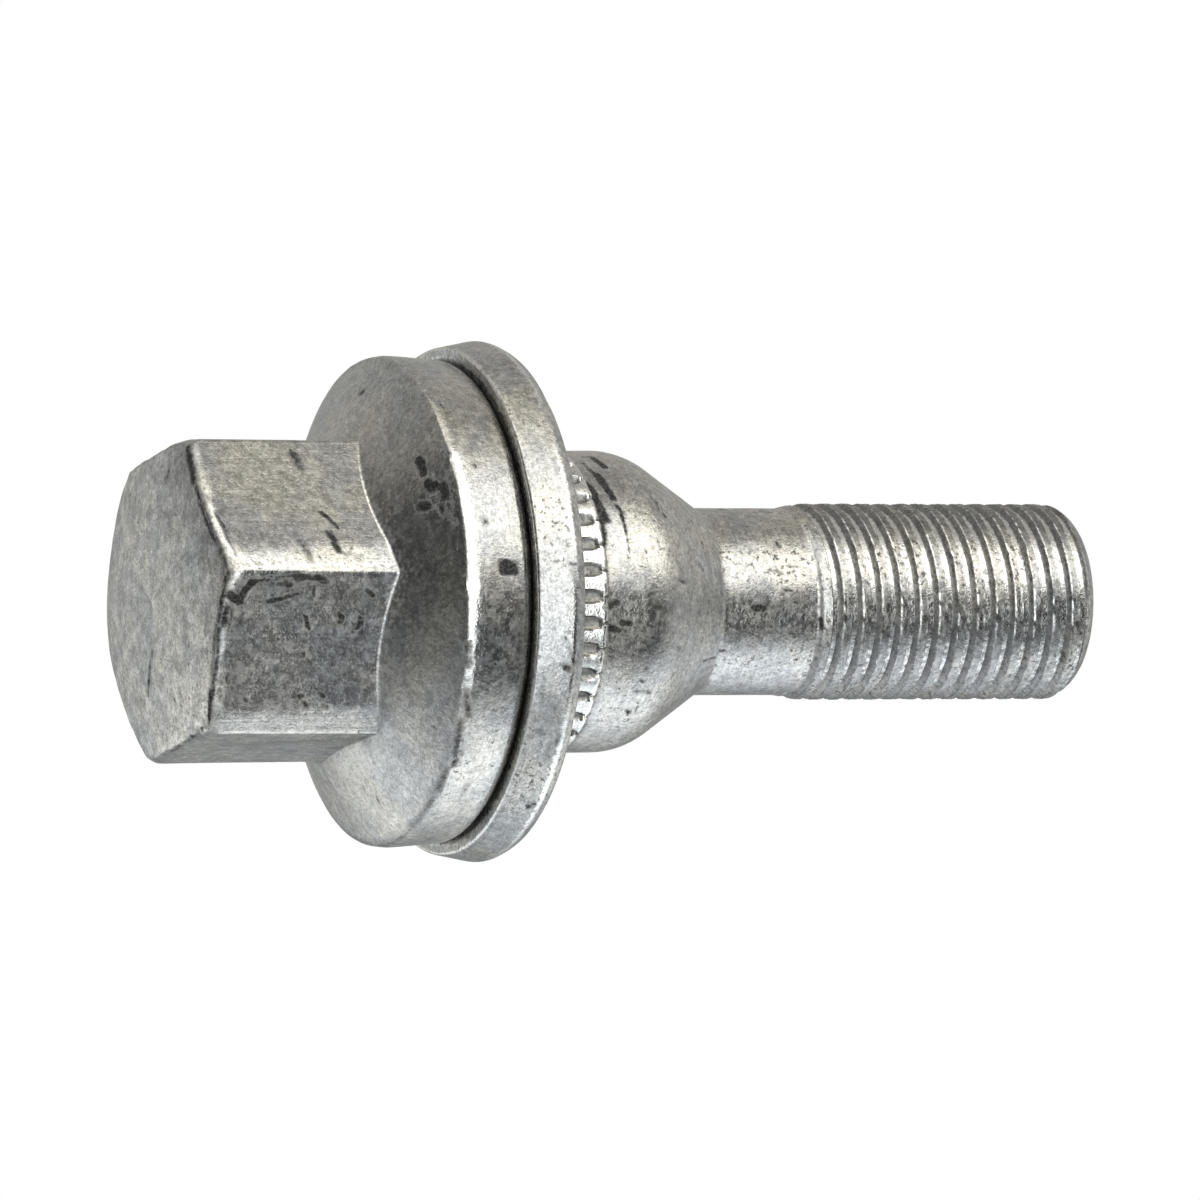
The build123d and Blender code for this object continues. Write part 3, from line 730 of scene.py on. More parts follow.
def stem_outline(sizes):
    """Turned outline from the band's end to the shank: pilot, round, cone and root."""
    pilot, shank = sizes.pilot_diameter / 2, sizes.shank_diameter / 2
    cone, rounding, root = sizes.cone_angle, sizes.pilot_round, sizes.cone_root
    half = math.degrees(cone)
    band_end = sizes.band_start + sizes.band_length
    centre = (pilot - rounding, sizes.cone_start - rounding * math.tan(cone / 2))
    shares = np.linspace(PILOT_START, 1.0, PILOT_ROWS)
    points = [(pilot, band_end + share * (centre[1] - band_end)) for share in shares]
    points += arc_points(centre, rounding, rounding, 0, half, PILOT_ROUND_ROWS)
    shank_start = sizes.cone_start + (pilot - shank) / math.tan(cone)
    root_centre = (shank + root, shank_start + root * math.tan(cone / 2))
    cone_end = (root_centre[0] - root * math.cos(cone), root_centre[1] - root * math.sin(cone))
    points += line_points(points[-1], cone_end, CONE_ROWS)
    points += arc_points(root_centre, root, root, 180 + half, 180, CONE_ROOT_ROWS)
    return points + [(shank, points[-1][1] + SHANK_STEP)]


# Steps along one pitch, from the middle of a root to the next, and the ends of the root and of the crest
PITCH_STEPS = np.array([0, 0.10, 0.16, 0.22, 0.28, 0.34, 0.44, 0.54, 0.64, 0.74, 0.82, 0.90, 0.95])
ROOT_END, CREST_START, CREST_END, ROOT_START = 0.10, 0.34, 0.74, 0.90
# How far the rows start before the thread and go on past the tip, and where the thread grows
THREAD_LEAD = 0.6 * MM
TIP_OVERRUN = 1.7 * MM
THREAD_GROWTH = (-0.3 * MM, 1.8 * MM)
# Depth of the burrs on the crests with their seed, and the rounding at the tip
BURR_DEPTH = 0.05 * MM
BURR_SEED = 11
TIP_ROUNDING = 0.12 * MM
TIP_CURVE = 1.7
# How bright the thread's bare lines are all round, and the painted highlight added about its brightest turn
SHINE, EXTRA_PAINTED_SHINE = 0.45, 0.55
PAINTED_SHINE_TURN = math.radians(-110)
# How worn the crests are, the painted highlight lines on their edges and in the roots, how near a step is to
# an edge, and the flanks' grime
CREST_WORN, EDGE_HIGHLIGHT, ROOT_HIGHLIGHT = 0.2, 0.5, 0.9
EDGE_NEAR = 0.02
FLANK_GRIME = 0.2


def thread_form(phase):
    """Height of the thread over one pitch, 0 in the root and 1 on the crest, steeper towards the tip."""
    rising = (phase - ROOT_END) / (CREST_START - ROOT_END)
    falling = (ROOT_START - phase) / (ROOT_START - CREST_END)
    return np.clip(np.minimum(rising, falling), 0, 1)


def thread_rows(sizes):
    """Radius, turn and height of the thread, with its wear, its painted highlight lines and how grimy it is:
    rows that wind along its helix.

    A row's end meets the row one pitch further on. Along the axis the radius goes from the shank's to the
    thread's form over the run-out and is rounded off towards the tip. Past the tip the rows go on inwards
    over the flat end.
    """
    pitch, tip = sizes.thread_pitch, sizes.tip_height
    start = sizes.thread_start - THREAD_LEAD
    turns = int(math.ceil((tip + TIP_OVERRUN - start) / pitch))
    share = np.arange(THREAD_COLUMNS) / THREAD_COLUMNS
    step = (np.arange(turns)[:, None] + PITCH_STEPS[None]).reshape(-1)
    phase = np.tile(PITCH_STEPS, turns)[:, None] + 0 * share[None]
    travel = start + pitch * (step[:, None] + share[None])
    turn = 2 * np.pi * share[None] + 0 * travel

    shank, crest = sizes.shank_diameter / 2, sizes.thread_diameter / 2
    grown = smooth_step(*(sizes.thread_start + end for end in THREAD_GROWTH), travel)
    form = thread_form(phase)
    burr = BURR_DEPTH * np.random.default_rng(BURR_SEED).uniform(-1, 0, form.shape) * (form > 0.93)
    radius = shank + grown * ((crest - shank) - sizes.thread_depth * (1 - form)) + burr * grown
    left = tip - travel
    rounding = np.clip(1 - left / sizes.tip_chamfer, 0, 1)
    radius = np.minimum(radius, crest - sizes.tip_depth * rounding**TIP_CURVE + np.minimum(left, 0))
    height = np.where(left > MM, travel, tip - (left + np.sqrt(left**2 + TIP_ROUNDING**2)) / 2)

    # Bare steel on the crests, and painted highlight lines on their edges and in the roots, strongest about
    # one turn
    edge = (np.abs(phase - CREST_START) < EDGE_NEAR) | (np.abs(phase - CREST_END) < EDGE_NEAR)
    shine_with_highlight = SHINE + EXTRA_PAINTED_SHINE * np.cos(turn - PAINTED_SHINE_TURN) ** 2
    bare = CREST_WORN * (form > 0.9) + EDGE_HIGHLIGHT * edge + ROOT_HIGHLIGHT * (form < 0.05)
    flank = (form > 0.1) & (form < 0.9)
    return radius, turn, height, grown * shine_with_highlight * bare * (left > 0), grown * FLANK_GRIME * flank * (left > 0)


def helix_quads(first, rows, columns, step):
    """Quads of the winding grid: past the last column, a row goes on as the row one pitch further on."""
    row, column = np.meshgrid(np.arange(rows - 1), np.arange(columns), indexing="ij")
    wraps = column == columns - 1
    next_row = np.where(wraps, row + step, row)
    next_column = np.where(wraps, 0, column + 1)
    inside = next_row + 1 < rows
    quads = np.stack([row * columns + column, next_row * columns + next_column,
                      (next_row + 1) * columns + next_column, (row + 1) * columns + column], -1)
    return first + quads[inside]


def helix_ends(first, rows, columns, step, tip):
    """Faces that close the winding grid: to the ring before it and to the middle of the tip."""
    ring = first - columns + np.arange(columns)
    bottom = first + np.arange(columns)
    quads = np.stack([ring[:-1], ring[1:], bottom[1:], bottom[:-1]], -1)
    seam = first + np.arange(step + 1) * columns
    last = bottom[-1]
    top = first + (rows - 1) * columns + np.arange(columns)
    edge = first + (np.arange(rows - 1 - step, rows)) * columns + columns - 1
    triangles = [
        np.array([[ring[-1], ring[0], seam[0]], [ring[-1], seam[0], last]]),
        np.stack([np.full(step, last), seam[:-1], seam[1:]], -1),
        np.stack([top[:-1], top[1:], np.full(columns - 1, tip)], -1),
        np.array([[top[-1], top[0], tip]]),
        np.stack([edge[:-1], np.full(step, top[0]), edge[1:]], -1),
    ]
    return quads, np.concatenate(triangles)


# The shank's rings: their distance from the cone's last row and from the thread
SHANK_GAPS = (0.4 * MM, 0.9 * MM)
# How much the thread is darkened: all over, more towards the picture's top, and less about one turn
THREAD_DARKENING = (0.36, 0.12, 0.22)
LIGHTEST_TURN = math.radians(-92)
DARKENING_GROWTH = 2 * MM
# How much painted shade the grooves of the band get: ragged through the grime mark, and even through the soil
# mark
GROOVE_SHADE = 0.35
GROOVE_EVEN_SHADE = 0.55
# The middle of the tip, as a share of the shank's radius, has no bumps
BUMPS_FROM = 0.3


def bolt_surface(sizes):
    """Points, faces and marks of the whole bolt, from the pole of the crown to the middle of the tip."""
    even = 2 * np.pi * np.arange(HEAD_COLUMNS) / HEAD_COLUMNS
    gathered = even - COLUMN_GATHER * np.sin(6 * (even - np.pi / 6))
    head, head_wear_and_highlight, head_grime_and_shade, crown_count, side_count = head_rows(gathered, sizes)
    spread = smooth_step(len(head) - SPREAD_ROWS, len(head) - 1, np.arange(len(head)))[:, None]
    head_turn = gathered[None] * (1 - spread) + even[None] * spread
    neck, neck_shade = neck_rows(head[-1, 0, 0], sizes)
    toothed = ((np.arange(TEETH)[:, None] + TOOTH_COLUMNS) * 2 * np.pi / TEETH).ravel()
    band, band_worn, groove_shade = band_rows(toothed, sizes)
    stem = turned_rows(stem_outline(sizes), HEAD_COLUMNS)
    # Painted shadow on the pilot's first rows, beside the band's raised end
    stem_shadow = np.zeros((len(stem), 1))
    stem_shadow[:len(PILOT_SHADOW), 0] = PILOT_SHADOW
    shank = sizes.shank_diameter / 2
    cone_gap, thread_gap = SHANK_GAPS
    ring_heights = graded(stem[-1, 1, 0] + cone_gap, sizes.thread_start - thread_gap, SHANK_RINGS)
    thread = thread_rows(sizes)
    # The marks hold wear with painted highlights, and grime with painted shade
    radius, turn, height, wear_and_highlight, grime_and_shade = joined([
        (0, 0, 0, 0, 0),
        (head[:, 0], head_turn, head[:, 1], head_wear_and_highlight, head_grime_and_shade),
        (neck[:, 0], even, neck[:, 1], 0, neck_shade),
        # Painted shade in the band's grooves
        (band[:, 0], toothed, band[:, 1], band_worn, GROOVE_SHADE * groove_shade),
        (stem[:, 0], even, stem[:, 1], 0, stem_shadow),
        (shank, even[::3], ring_heights, 0, 0),
        thread,
        (0, 0, sizes.tip_height, 0, 0),
    ])

    crown_end = 1 + crown_count * HEAD_COLUMNS
    side_end = crown_end + side_count * HEAD_COLUMNS
    index = np.arange(len(radius))
    along = (index >= crown_end) & (index < side_end)
    around = index >= side_end
    pitted = np.interp(height / MM, *np.array(PITTED_HEIGHTS).T)
    # The thread darker all over, more towards the picture's top and less about one turn
    all_over, upper, cleaner = THREAD_DARKENING
    soil_and_shade = all_over - upper * np.cos(turn) - cleaner * np.cos(turn - LIGHTEST_TURN) ** 8
    soil_and_shade = soil_and_shade * smooth_step(sizes.thread_start, sizes.thread_start + DARKENING_GROWTH, height)
    band_first = 1 + (len(head) + len(neck)) * HEAD_COLUMNS
    # Even painted shade in the band's grooves
    soil_and_shade[band_first:band_first + groove_shade.size] += GROOVE_EVEN_SHADE * groove_shade.ravel()

    dent = soft_spots(placed(radius, turn, height), BOLT_DENTS) * MM
    dent += BUMP_HEIGHT * (1 + ripple(turn, height, *BOLT_BUMPS)) * (radius > BUMPS_FROM * shank)
    points = placed(np.clip(radius - dent, 0, None), turn, height)
    grime = BOLT_GRIME + strewn_strokes(BOLT_PLACES, *BOLT_STREWN)
    grime_and_shade = grime_and_shade + GRIME_STRENGTH * soft_strokes(points, grime)
    soil_and_shade = soil_and_shade + soft_strokes(points, BOLT_SMUDGES)

    row_count = len(head) + len(neck) + len(band) + len(stem)
    coarse_first = 1 + row_count * HEAD_COLUMNS
    helix_first = coarse_first + SHANK_RINGS * THREAD_COLUMNS
    helix = helix_first, len(thread[0]), THREAD_COLUMNS, len(PITCH_STEPS)
    faces = [
        fan(0, 1 + np.arange(HEAD_COLUMNS)),
        ring_quads(1, row_count, HEAD_COLUMNS),
        three_to_one(coarse_first + np.arange(-HEAD_COLUMNS, 0), coarse_first + np.arange(THREAD_COLUMNS)),
        ring_quads(coarse_first, SHANK_RINGS, THREAD_COLUMNS),
        helix_quads(*helix),
        *helix_ends(*helix, len(points) - 1),
    ]
    # Wear with painted highlights, grime with painted shade, pits, soil with painted shade, and the ways of
    # the streaks
    marks = {"wear_and_highlight": wear_and_highlight, "grime_and_shade": grime_and_shade, "pitted": pitted, "soil_and_shade": soil_and_shade, "along": along,
             "around": around}
    return points, faces, marks


# The washer


# Smears, places for more of them and dents, given like the bolt's
WASHER_GRIME = [
    (20.1, -26, 15.6, 20.4, -27, 15.6, 0.25, 1.70), (20.4, -86, 15.6, 20.9, -86, 15.6, 0.25, 0.84),
    (20.6, -85, 15.6, 20.8, -81, 15.6, 0.22, 0.60), (20.1, -64, 15.6, 20.7, -63, 15.6, 0.31, 1.02),
    (20.2, -70, 15.6, 20.6, -66, 15.6, 0.31, 0.60), (19.6, -53, 15.6, 19.9, -49, 15.6, 0.22, 0.72),
    (20.5, -45, 15.6, 20.7, -48, 15.6, 0.26, 0.84), (19.7, -37, 15.6, 20.0, -32, 15.6, 0.26, 0.60),
    (19.8, -17, 15.6, 20.3, -20, 15.6, 0.30, 0.60), (19.4, -9, 15.6, 19.4, -15, 15.6, 0.30, 0.48),
    (19.2, -91, 15.6, 19.4, -91, 15.6, 0.16, 0.96), (21.1, -132, 15.6, 20.5, -127, 15.6, 0.21, 0.84),
    (19.8, -123, 15.6, 19.3, -120, 15.6, 0.21, 0.60), (20.1, -108, 15.6, 20.0, -105, 15.6, 0.19, 0.48),
    (20.8, -116, 15.6, 20.9, -113, 15.6, 0.19, 0.60),
]
WASHER_PLACES = [(18.9, 21.0, 15.6), (21.55, 21.55, 12.5), (18.6, 18.6, 15.0)]
WASHER_DENTS = [
    (21.4, -95, 15.6, 0.35, 0.6, 0.10), (18.6, -108, 15.6, 0.3, 0.5, 0.10),
    (21.4, -50, 15.6, 0.35, 0.7, 0.09), (18.6, -66, 15.6, 0.3, 0.6, 0.08),
    (20.2, -26, 15.6, 0.25, 0.28, 0.06), (21.4, -130, 15.6, 0.3, 0.6, 0.10),
    (21.4, 60, 15.6, 0.3, 0.7, 0.10), (18.6, 120, 15.6, 0.3, 0.6, 0.10),
    (21.4, 165, 15.6, 0.3, 0.6, 0.09),
]
# How many more smears lie on the far side, with their seed
WASHER_STREWN = (20, 43)
# Low bumps of the rim: waves around the axis and along it, with the seed of their phases
WASHER_BUMPS = (((3, 0.4), (7, -0.9), (12, 1.3), (23, 2.0)), 41)
# How worn each point of a rounded corner is, and how many points lie on the line to the next one
CORNER_POINTS = (0.5, 0.85, 1.0, 0.85, 0.5)
LINE_POINTS = 4
# Longest rounding as a share of a line
LONGEST_ROUNDING = 0.4
# Height of the bevel at the seat, and where the wear stops below the seat, as shares of the edge's size
SEAT_BEVEL = 1.9
SEAT_WEAR = 1.2
# Depths below the rim between which the washer's outside starts, and the depth at which the seat ends
OUTSIDE_DEPTHS = (2.0 * MM, 0.6 * MM)
SEAT_DEPTH = 0.01 * MM
# Strength of the washer's marks: its wear, the painted shade on its dish and bore, its pits, and the even
# painted shade there
WASHER_WORN, WASHER_INNER_SHADE, WASHER_PITTED, WASHER_INNER_EVEN_SHADE = 0.75, 0.7, 0.75, 0.3


def rounded_section(corners):
    """Closed outline through corners with their roundings, and how worn each point is.

    Each corner is a quadratic curve between points at its rounding before and after it. The lines between the
    curves are divided evenly.
    """
    place = np.array([corner[:2] for corner in corners])
    reach = np.array([corner[2] for corner in corners])[:, None]
    before, after = np.roll(place, 1, 0) - place, np.roll(place, -1, 0) - place
    entry, leave = (
        place + way * np.minimum(reach / np.linalg.norm(way, axis=1)[:, None], LONGEST_ROUNDING)
        for way in (before, after))
    t = np.linspace(0, 1, len(CORNER_POINTS))[None, :, None]
    curves = (1 - t) ** 2 * entry[:, None] + 2 * t * (1 - t) * place[:, None] + t**2 * leave[:, None]
    steps = np.linspace(0, 1, LINE_POINTS + 2)[None, 1:-1, None]
    lines = leave[:, None] * (1 - steps) + np.roll(entry, -1, 0)[:, None] * steps
    wear_and_highlight = np.tile([*CORNER_POINTS, *[0] * LINE_POINTS], len(corners))
    return np.concatenate([curves, lines], 1).reshape(-1, 2), wear_and_highlight


def washer_surface(sizes):
    """Points, faces and marks of the washer: the closed outline of its section, carried around the axis."""
    outer, bore = sizes.diameter / 2, sizes.bore_diameter / 2
    low, high, edge = sizes.bottom, sizes.top, sizes.edge
    floor = low + sizes.dish_depth
    section, section_worn = rounded_section([
        (bore, floor, 0.15 * MM),
        (sizes.dish_radius, floor, 0.3 * MM),
        (outer - sizes.rim_width, low, 0.2 * MM),
        (outer - sizes.rim_draft, low, 0.18 * MM),
        (outer, high - SEAT_BEVEL * edge, 0.25 * MM),
        (outer - edge, high, 0.2 * MM),
        (bore + edge, high, 0.15 * MM),
        (bore, high - edge, 0.15 * MM),
    ])
    even = 2 * np.pi * np.arange(WASHER_COLUMNS) / WASHER_COLUMNS
    radius, height, turn = np.broadcast_arrays(section[:, :1], section[:, 1:], even)
    outside = smooth_step(*(outer - depth for depth in OUTSIDE_DEPTHS), radius)
    dent = soft_spots(placed(radius, turn, height), WASHER_DENTS).reshape(radius.shape) * MM
    dent = outside * (dent + BUMP_HEIGHT * (1 + ripple(turn, height, *WASHER_BUMPS)))
    points = placed(radius - dent, turn, height)

    # The dish and the bore, between the washer and the bolt, get painted shade
    inside = (1 - outside) * (height < high - SEAT_DEPTH)
    grime = soft_strokes(points, WASHER_GRIME + strewn_strokes(WASHER_PLACES, *WASHER_STREWN))
    same = np.ones(radius.size)
    marks = {
        "wear_and_highlight": WASHER_WORN * section_worn[:, None] * outside * (height < high - SEAT_WEAR * edge),
        "grime_and_shade": grime + WASHER_INNER_SHADE * inside.ravel(),
        "pitted": WASHER_PITTED * same,
        "soil_and_shade": WASHER_INNER_EVEN_SHADE * inside,
        "along": 0 * same,
        "around": same,
    }
    column = np.arange(WASHER_COLUMNS)
    follow = (column + 1) % WASHER_COLUMNS
    last = (len(section) - 1) * WASHER_COLUMNS
    closing = np.stack([last + column, last + follow, follow, column], -1)
    return points, [ring_quads(0, len(section), WASHER_COLUMNS), closing], marks


# Materials


class Nodes:
    """The nodes of one shader tree, added by calls that give back the new node's output."""

    def __init__(self, tree):
        self.tree = tree

    def feed(self, socket, value):
        """Link an input to another node's output, or set it to a value."""
        if isinstance(value, bpy.types.NodeSocket):
            self.tree.links.new(value, socket)
        else:
            socket.default_value = value

    def add(self, kind, inputs=(), **settings):
        """One node, itself, with its settings and its inputs."""
        node = self.tree.nodes.new(kind)
        for name, value in settings.items():
            setattr(node, name, value)
        for name, value in dict(inputs).items():
            self.feed(node.inputs[name], value)
        return node

    def scaled(self, source, scale, shift=(0, 0, 0)):
        """Coordinates times a scale along each axis, plus a shift."""
        inputs = {"Vector": source, "Scale": scale, "Location": shift}
        return self.add("ShaderNodeMapping", inputs).outputs[0]

    def noise(self, source, scale, detail, roughness):
        """Cloudy noise between 0 and 1, with its middle at 0.5."""
        inputs = {"Vector": source, "Scale": scale, "Detail": detail, "Roughness": roughness}
        return self.add("ShaderNodeTexNoise", inputs).outputs[0]

    def spread(self, source, low, high, start=0.0, end=1.0):
        """A value from low to high, eased into a range from start to end."""
        inputs = {"Value": source, "From Min": low, "From Max": high, "To Min": start, "To Max": end}
        return self.add("ShaderNodeMapRange", inputs, interpolation_type="SMOOTHSTEP").outputs[0]

    def times(self, first, second):
        """The product of two values."""
        return self.add("ShaderNodeMath", {0: first, 1: second}, operation="MULTIPLY").outputs[0]

    def times_plus(self, first, second, third):
        """The product of two values, plus a third."""
        inputs = {0: first, 1: second, 2: third}
        return self.add("ShaderNodeMath", inputs, operation="MULTIPLY_ADD").outputs[0]

    def larger(self, first, second):
        """The larger of two values."""
        return self.add("ShaderNodeMath", {0: first, 1: second}, operation="MAXIMUM").outputs[0]

    def mix(self, factor, first, second, blend="MIX"):
        """Two colours mixed by a factor."""
        node = self.add("ShaderNodeMix", {"Factor": factor}, data_type="RGBA", blend_type=blend)
        for socket, value in ((node.inputs[6], first), (node.inputs[7], second)):
            self.feed(socket, value if isinstance(value, bpy.types.NodeSocket) else (*value, 1))
        return node.outputs[2]

    def mark(self, name):
        """The number that a mesh holds for each vertex under a name."""
        return self.add("ShaderNodeAttribute", attribute_name=name).outputs["Fac"]


# Noise in the plating: its scale in a millimetre, its detail and its roughness
NOISES = {
    "clouds": (0.20, 4.0, 0.62),
    "mottle": (1.5, 4.0, 0.7),
    "blotch": (3.2, 4.0, 0.68),
    "grain": (8.0, 2.0, 0.6),
    "pits": (3.1, 4.0, 0.6),
    "scuffs": (1.0, 5.0, 0.68),
}
# Streaks in the plating: how fine their noise is along each axis
STREAKS = {"along": (7.0, 7.0, 0.22), "around": (0.5, 0.5, 5.0), "across": (0.45, 2.6, 2.6)}
STREAK_NOISE = (1.0, 3.0, 0.6)
SCRATCH_SCALE = (5.0, 5.0, 0.10)
SCRATCH_NOISE = (1.0, 2.0, 0.5)
# Ranges over which a pattern sets in
PIT_RANGE = (0.65, 0.76)
PIT_CLOUDS = (0.36, 0.60, 0.3, 1.0)
SMEAR_AND_SHADE_RANGE = (0.24, 1.02)
SMEAR_AND_SHADE_LEAST = (0.08, 0.4)
SMEAR_AND_SHADE_GRAIN = (0.3, 0.6, 0.8, 1.0)
BRIGHT_RANGE = (0.34, 0.72)
SCRATCH_RANGE = (0.61, 0.67)
WARM_RANGE = (0.36, 0.62)
SCUFF_RANGE = (0.34, 0.66, 0.70, 1.27)
# How much noise makes smears with painted shade, and bright edges with painted highlights, ragged
SMEAR_AND_SHADE_RAGGED = 1.9
BRIGHT_RAGGED = 1.5
# How strong pits, scratches and bare edges with painted highlights are, and how much of the brightness dirt
# and painted shade hide
PIT_SHIFT, PIT_STRENGTH = 0.13, 0.75
SCRATCH_STRENGTH, BARE_STRENGTH, DIRT_AND_SHADE_HIDE = 0.4, 0.8, 0.85
# How much of the scuffs is missing on the flats and on what was turned
CALM_ALONG, CALM_AROUND = 0.7, 0.85
# Patterns that darken and lighten the plating: their range and their tones
TONES = (
    ("mottle", 0.3, 0.7, 0.80, 1.12),
    ("grain", 0.3, 0.7, 0.80, 1.14),
    ("blotch", 0.3, 0.7, 0.78, 1.14),
    ("lines", 0.3, 0.7, 0.90, 1.07),
    ("clouds", 0.3, 0.7, 0.90, 1.08),
)
# How the roughness varies with the mottle, and what dirt with painted shade, bare steel with painted
# highlights, and soil with painted shade add to it
GLOSS_RANGE = (0.3, 0.7)
GLOSS_VARIES = (-0.05, 0.08)
GLOSS_DIRT_AND_SHADE, GLOSS_BRIGHT, GLOSS_SOIL_AND_SHADE = 0.22, -0.09, 0.10
# How high each pattern stands, in millimetres
RELIEF = (("grain", 0.014), ("mottle", 0.022), ("blotch", 0.02), ("lines", 0.007), ("dirt_and_shade", -0.008))
DIRT_SPECULAR = 0.15
# Shift of the washer's patterns in millimetres, so that they differ from the bolt's
WASHER_SHIFT = (31, 17, 5)


def worn_plating(name, finish, shift):
    """Dull silver plating on steel: clouded, pitted, smeared with black grime and worn bright at its edges,
    with painted shade and painted highlights in the grime's and the bare steel's colours.

    All patterns lie in the object's own millimetres. Scratches run along the axis on the flats, around it on
    what was turned, and across the crown. The meshes' marks say where grime, painted shade, bare edges and
    painted highlights lie, and noise makes them ragged.
    """
    material = bpy.data.materials.new(name)
    material.use_nodes = True
    nodes = Nodes(material.node_tree)
    shader = material.node_tree.nodes["Principled BSDF"].inputs
    place = nodes.add("ShaderNodeTexCoord").outputs["Object"]
    in_mm = nodes.scaled(place, (1 / MM,) * 3, shift)

    fields = {field: nodes.noise(in_mm, *numbers) for field, numbers in NOISES.items()}
    streaks = {
        way: nodes.noise(nodes.scaled(in_mm, scale), *STREAK_NOISE) for way, scale in STREAKS.items()}
    lines = nodes.mix(nodes.mark("along"), streaks["across"], streaks["along"])
    fields["lines"] = nodes.mix(nodes.mark("around"), lines, streaks["around"])

    pits = nodes.spread(nodes.times_plus(nodes.mark("pitted"), PIT_SHIFT, fields["pits"]), *PIT_RANGE)
    pits = nodes.times(pits, nodes.spread(fields["clouds"], *PIT_CLOUDS))
    ragged = nodes.times_plus(fields["blotch"], SMEAR_AND_SHADE_RAGGED, -SMEAR_AND_SHADE_RAGGED / 2)
    # Smears from the grime mark, which also holds painted shade in hollows and between parts
    smear_and_shade = nodes.spread(nodes.times_plus(nodes.mark("grime_and_shade"), 1.0, ragged), *SMEAR_AND_SHADE_RANGE)
    smear_and_shade = nodes.times(smear_and_shade, nodes.spread(nodes.mark("grime_and_shade"), *SMEAR_AND_SHADE_LEAST))
    smear_and_shade = nodes.times(smear_and_shade, nodes.spread(fields["grain"], *SMEAR_AND_SHADE_GRAIN))
    dirt_and_shade = fields["dirt_and_shade"] = nodes.larger(nodes.times(pits, PIT_STRENGTH), smear_and_shade)

    # Bare steel from the wear mark, which also holds painted highlights
    frayed = nodes.times_plus(fields["blotch"], BRIGHT_RAGGED, -BRIGHT_RAGGED / 2)
    bright = nodes.spread(nodes.times_plus(nodes.mark("wear_and_highlight"), 1.0, frayed), *BRIGHT_RANGE)
    scratches = nodes.noise(nodes.scaled(in_mm, SCRATCH_SCALE), *SCRATCH_NOISE)
    scratches = nodes.times(nodes.spread(scratches, *SCRATCH_RANGE), nodes.mark("along"))
    bright = nodes.larger(bright, nodes.times(scratches, SCRATCH_STRENGTH))
    bright = nodes.times(bright, nodes.times_plus(dirt_and_shade, -DIRT_AND_SHADE_HIDE, 1.0))

    tone = 1.0
    for field, *numbers in TONES:
        tone = nodes.times(tone, nodes.spread(fields[field], *numbers))
    calm = nodes.times(nodes.mark("around"), CALM_AROUND)
    calm = nodes.times_plus(nodes.mark("along"), CALM_ALONG, calm)
    tone = nodes.times(tone, nodes.mix(calm, nodes.spread(fields["scuffs"], *SCUFF_RANGE), (1, 1, 1)))
    warm = nodes.spread(fields["clouds"], *WARM_RANGE)
    colour = nodes.mix(warm, finish.plating_cool, finish.plating_warm)
    colour = nodes.mix(1.0, colour, tone, "MULTIPLY")
    # Soil with painted shade, then dirt with painted shade, then bare steel with painted highlights
    colour = nodes.mix(nodes.mark("soil_and_shade"), colour, finish.grime)
    colour = nodes.mix(dirt_and_shade, colour, finish.grime)
    colour = nodes.mix(nodes.times(bright, BARE_STRENGTH), colour, finish.bare)

    gloss_ends = (finish.roughness + change for change in GLOSS_VARIES)
    gloss = nodes.spread(fields["mottle"], *GLOSS_RANGE, *gloss_ends)
    gloss = nodes.times_plus(dirt_and_shade, GLOSS_DIRT_AND_SHADE, gloss)
    gloss = nodes.times_plus(bright, GLOSS_BRIGHT, gloss)
    gloss = nodes.times_plus(nodes.mark("soil_and_shade"), GLOSS_SOIL_AND_SHADE, gloss)
    height = 0.0
    for field, stands in RELIEF:
        height = nodes.times_plus(fields[field], stands, height)
    bump = nodes.add("ShaderNodeBump", {"Height": height, "Strength": 1.0, "Distance": MM})

    nodes.feed(shader["Base Color"], colour)
    nodes.feed(shader["Roughness"], gloss)
    nodes.feed(shader["Metallic"], nodes.times_plus(dirt_and_shade, -1.0, 1.0))
    nodes.feed(shader["Specular IOR Level"], DIRT_SPECULAR)
    nodes.feed(shader["Normal"], bump.outputs[0])
    return material


# Operators for the pieces


class WHEELBOLT_OT_bolt(bpy.types.Operator):
    """Build the bolt's surface over its solid."""

    bl_idname = "wheelbolt.bolt"
    bl_label = "Bolt"

    def execute(self, context):
        settings = context.scene
        plating = worn_plating("bolt_plating", settings.steel_finish, (0, 0, 0))
        piece = new_piece("bolt_body", bolt_surface(settings.bolt_sizes), plating, SHARP_ANGLE)
        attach(piece, "bolt")
        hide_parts("wheel_bolt")
        return {"FINISHED"}


class WHEELBOLT_OT_washer(bpy.types.Operator):
    """Build the washer's surface over its solid."""

    bl_idname = "wheelbolt.washer"
    bl_label = "Washer"

    def execute(self, context):
        settings = context.scene
        plating = worn_plating("washer_plating", settings.steel_finish, WASHER_SHIFT)
        piece = new_piece("washer_ring", washer_surface(settings.washer_sizes), plating, SHARP_ANGLE)
        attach(piece, "washer")
        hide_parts("captive_washer")
        return {"FINISHED"}


# The stage


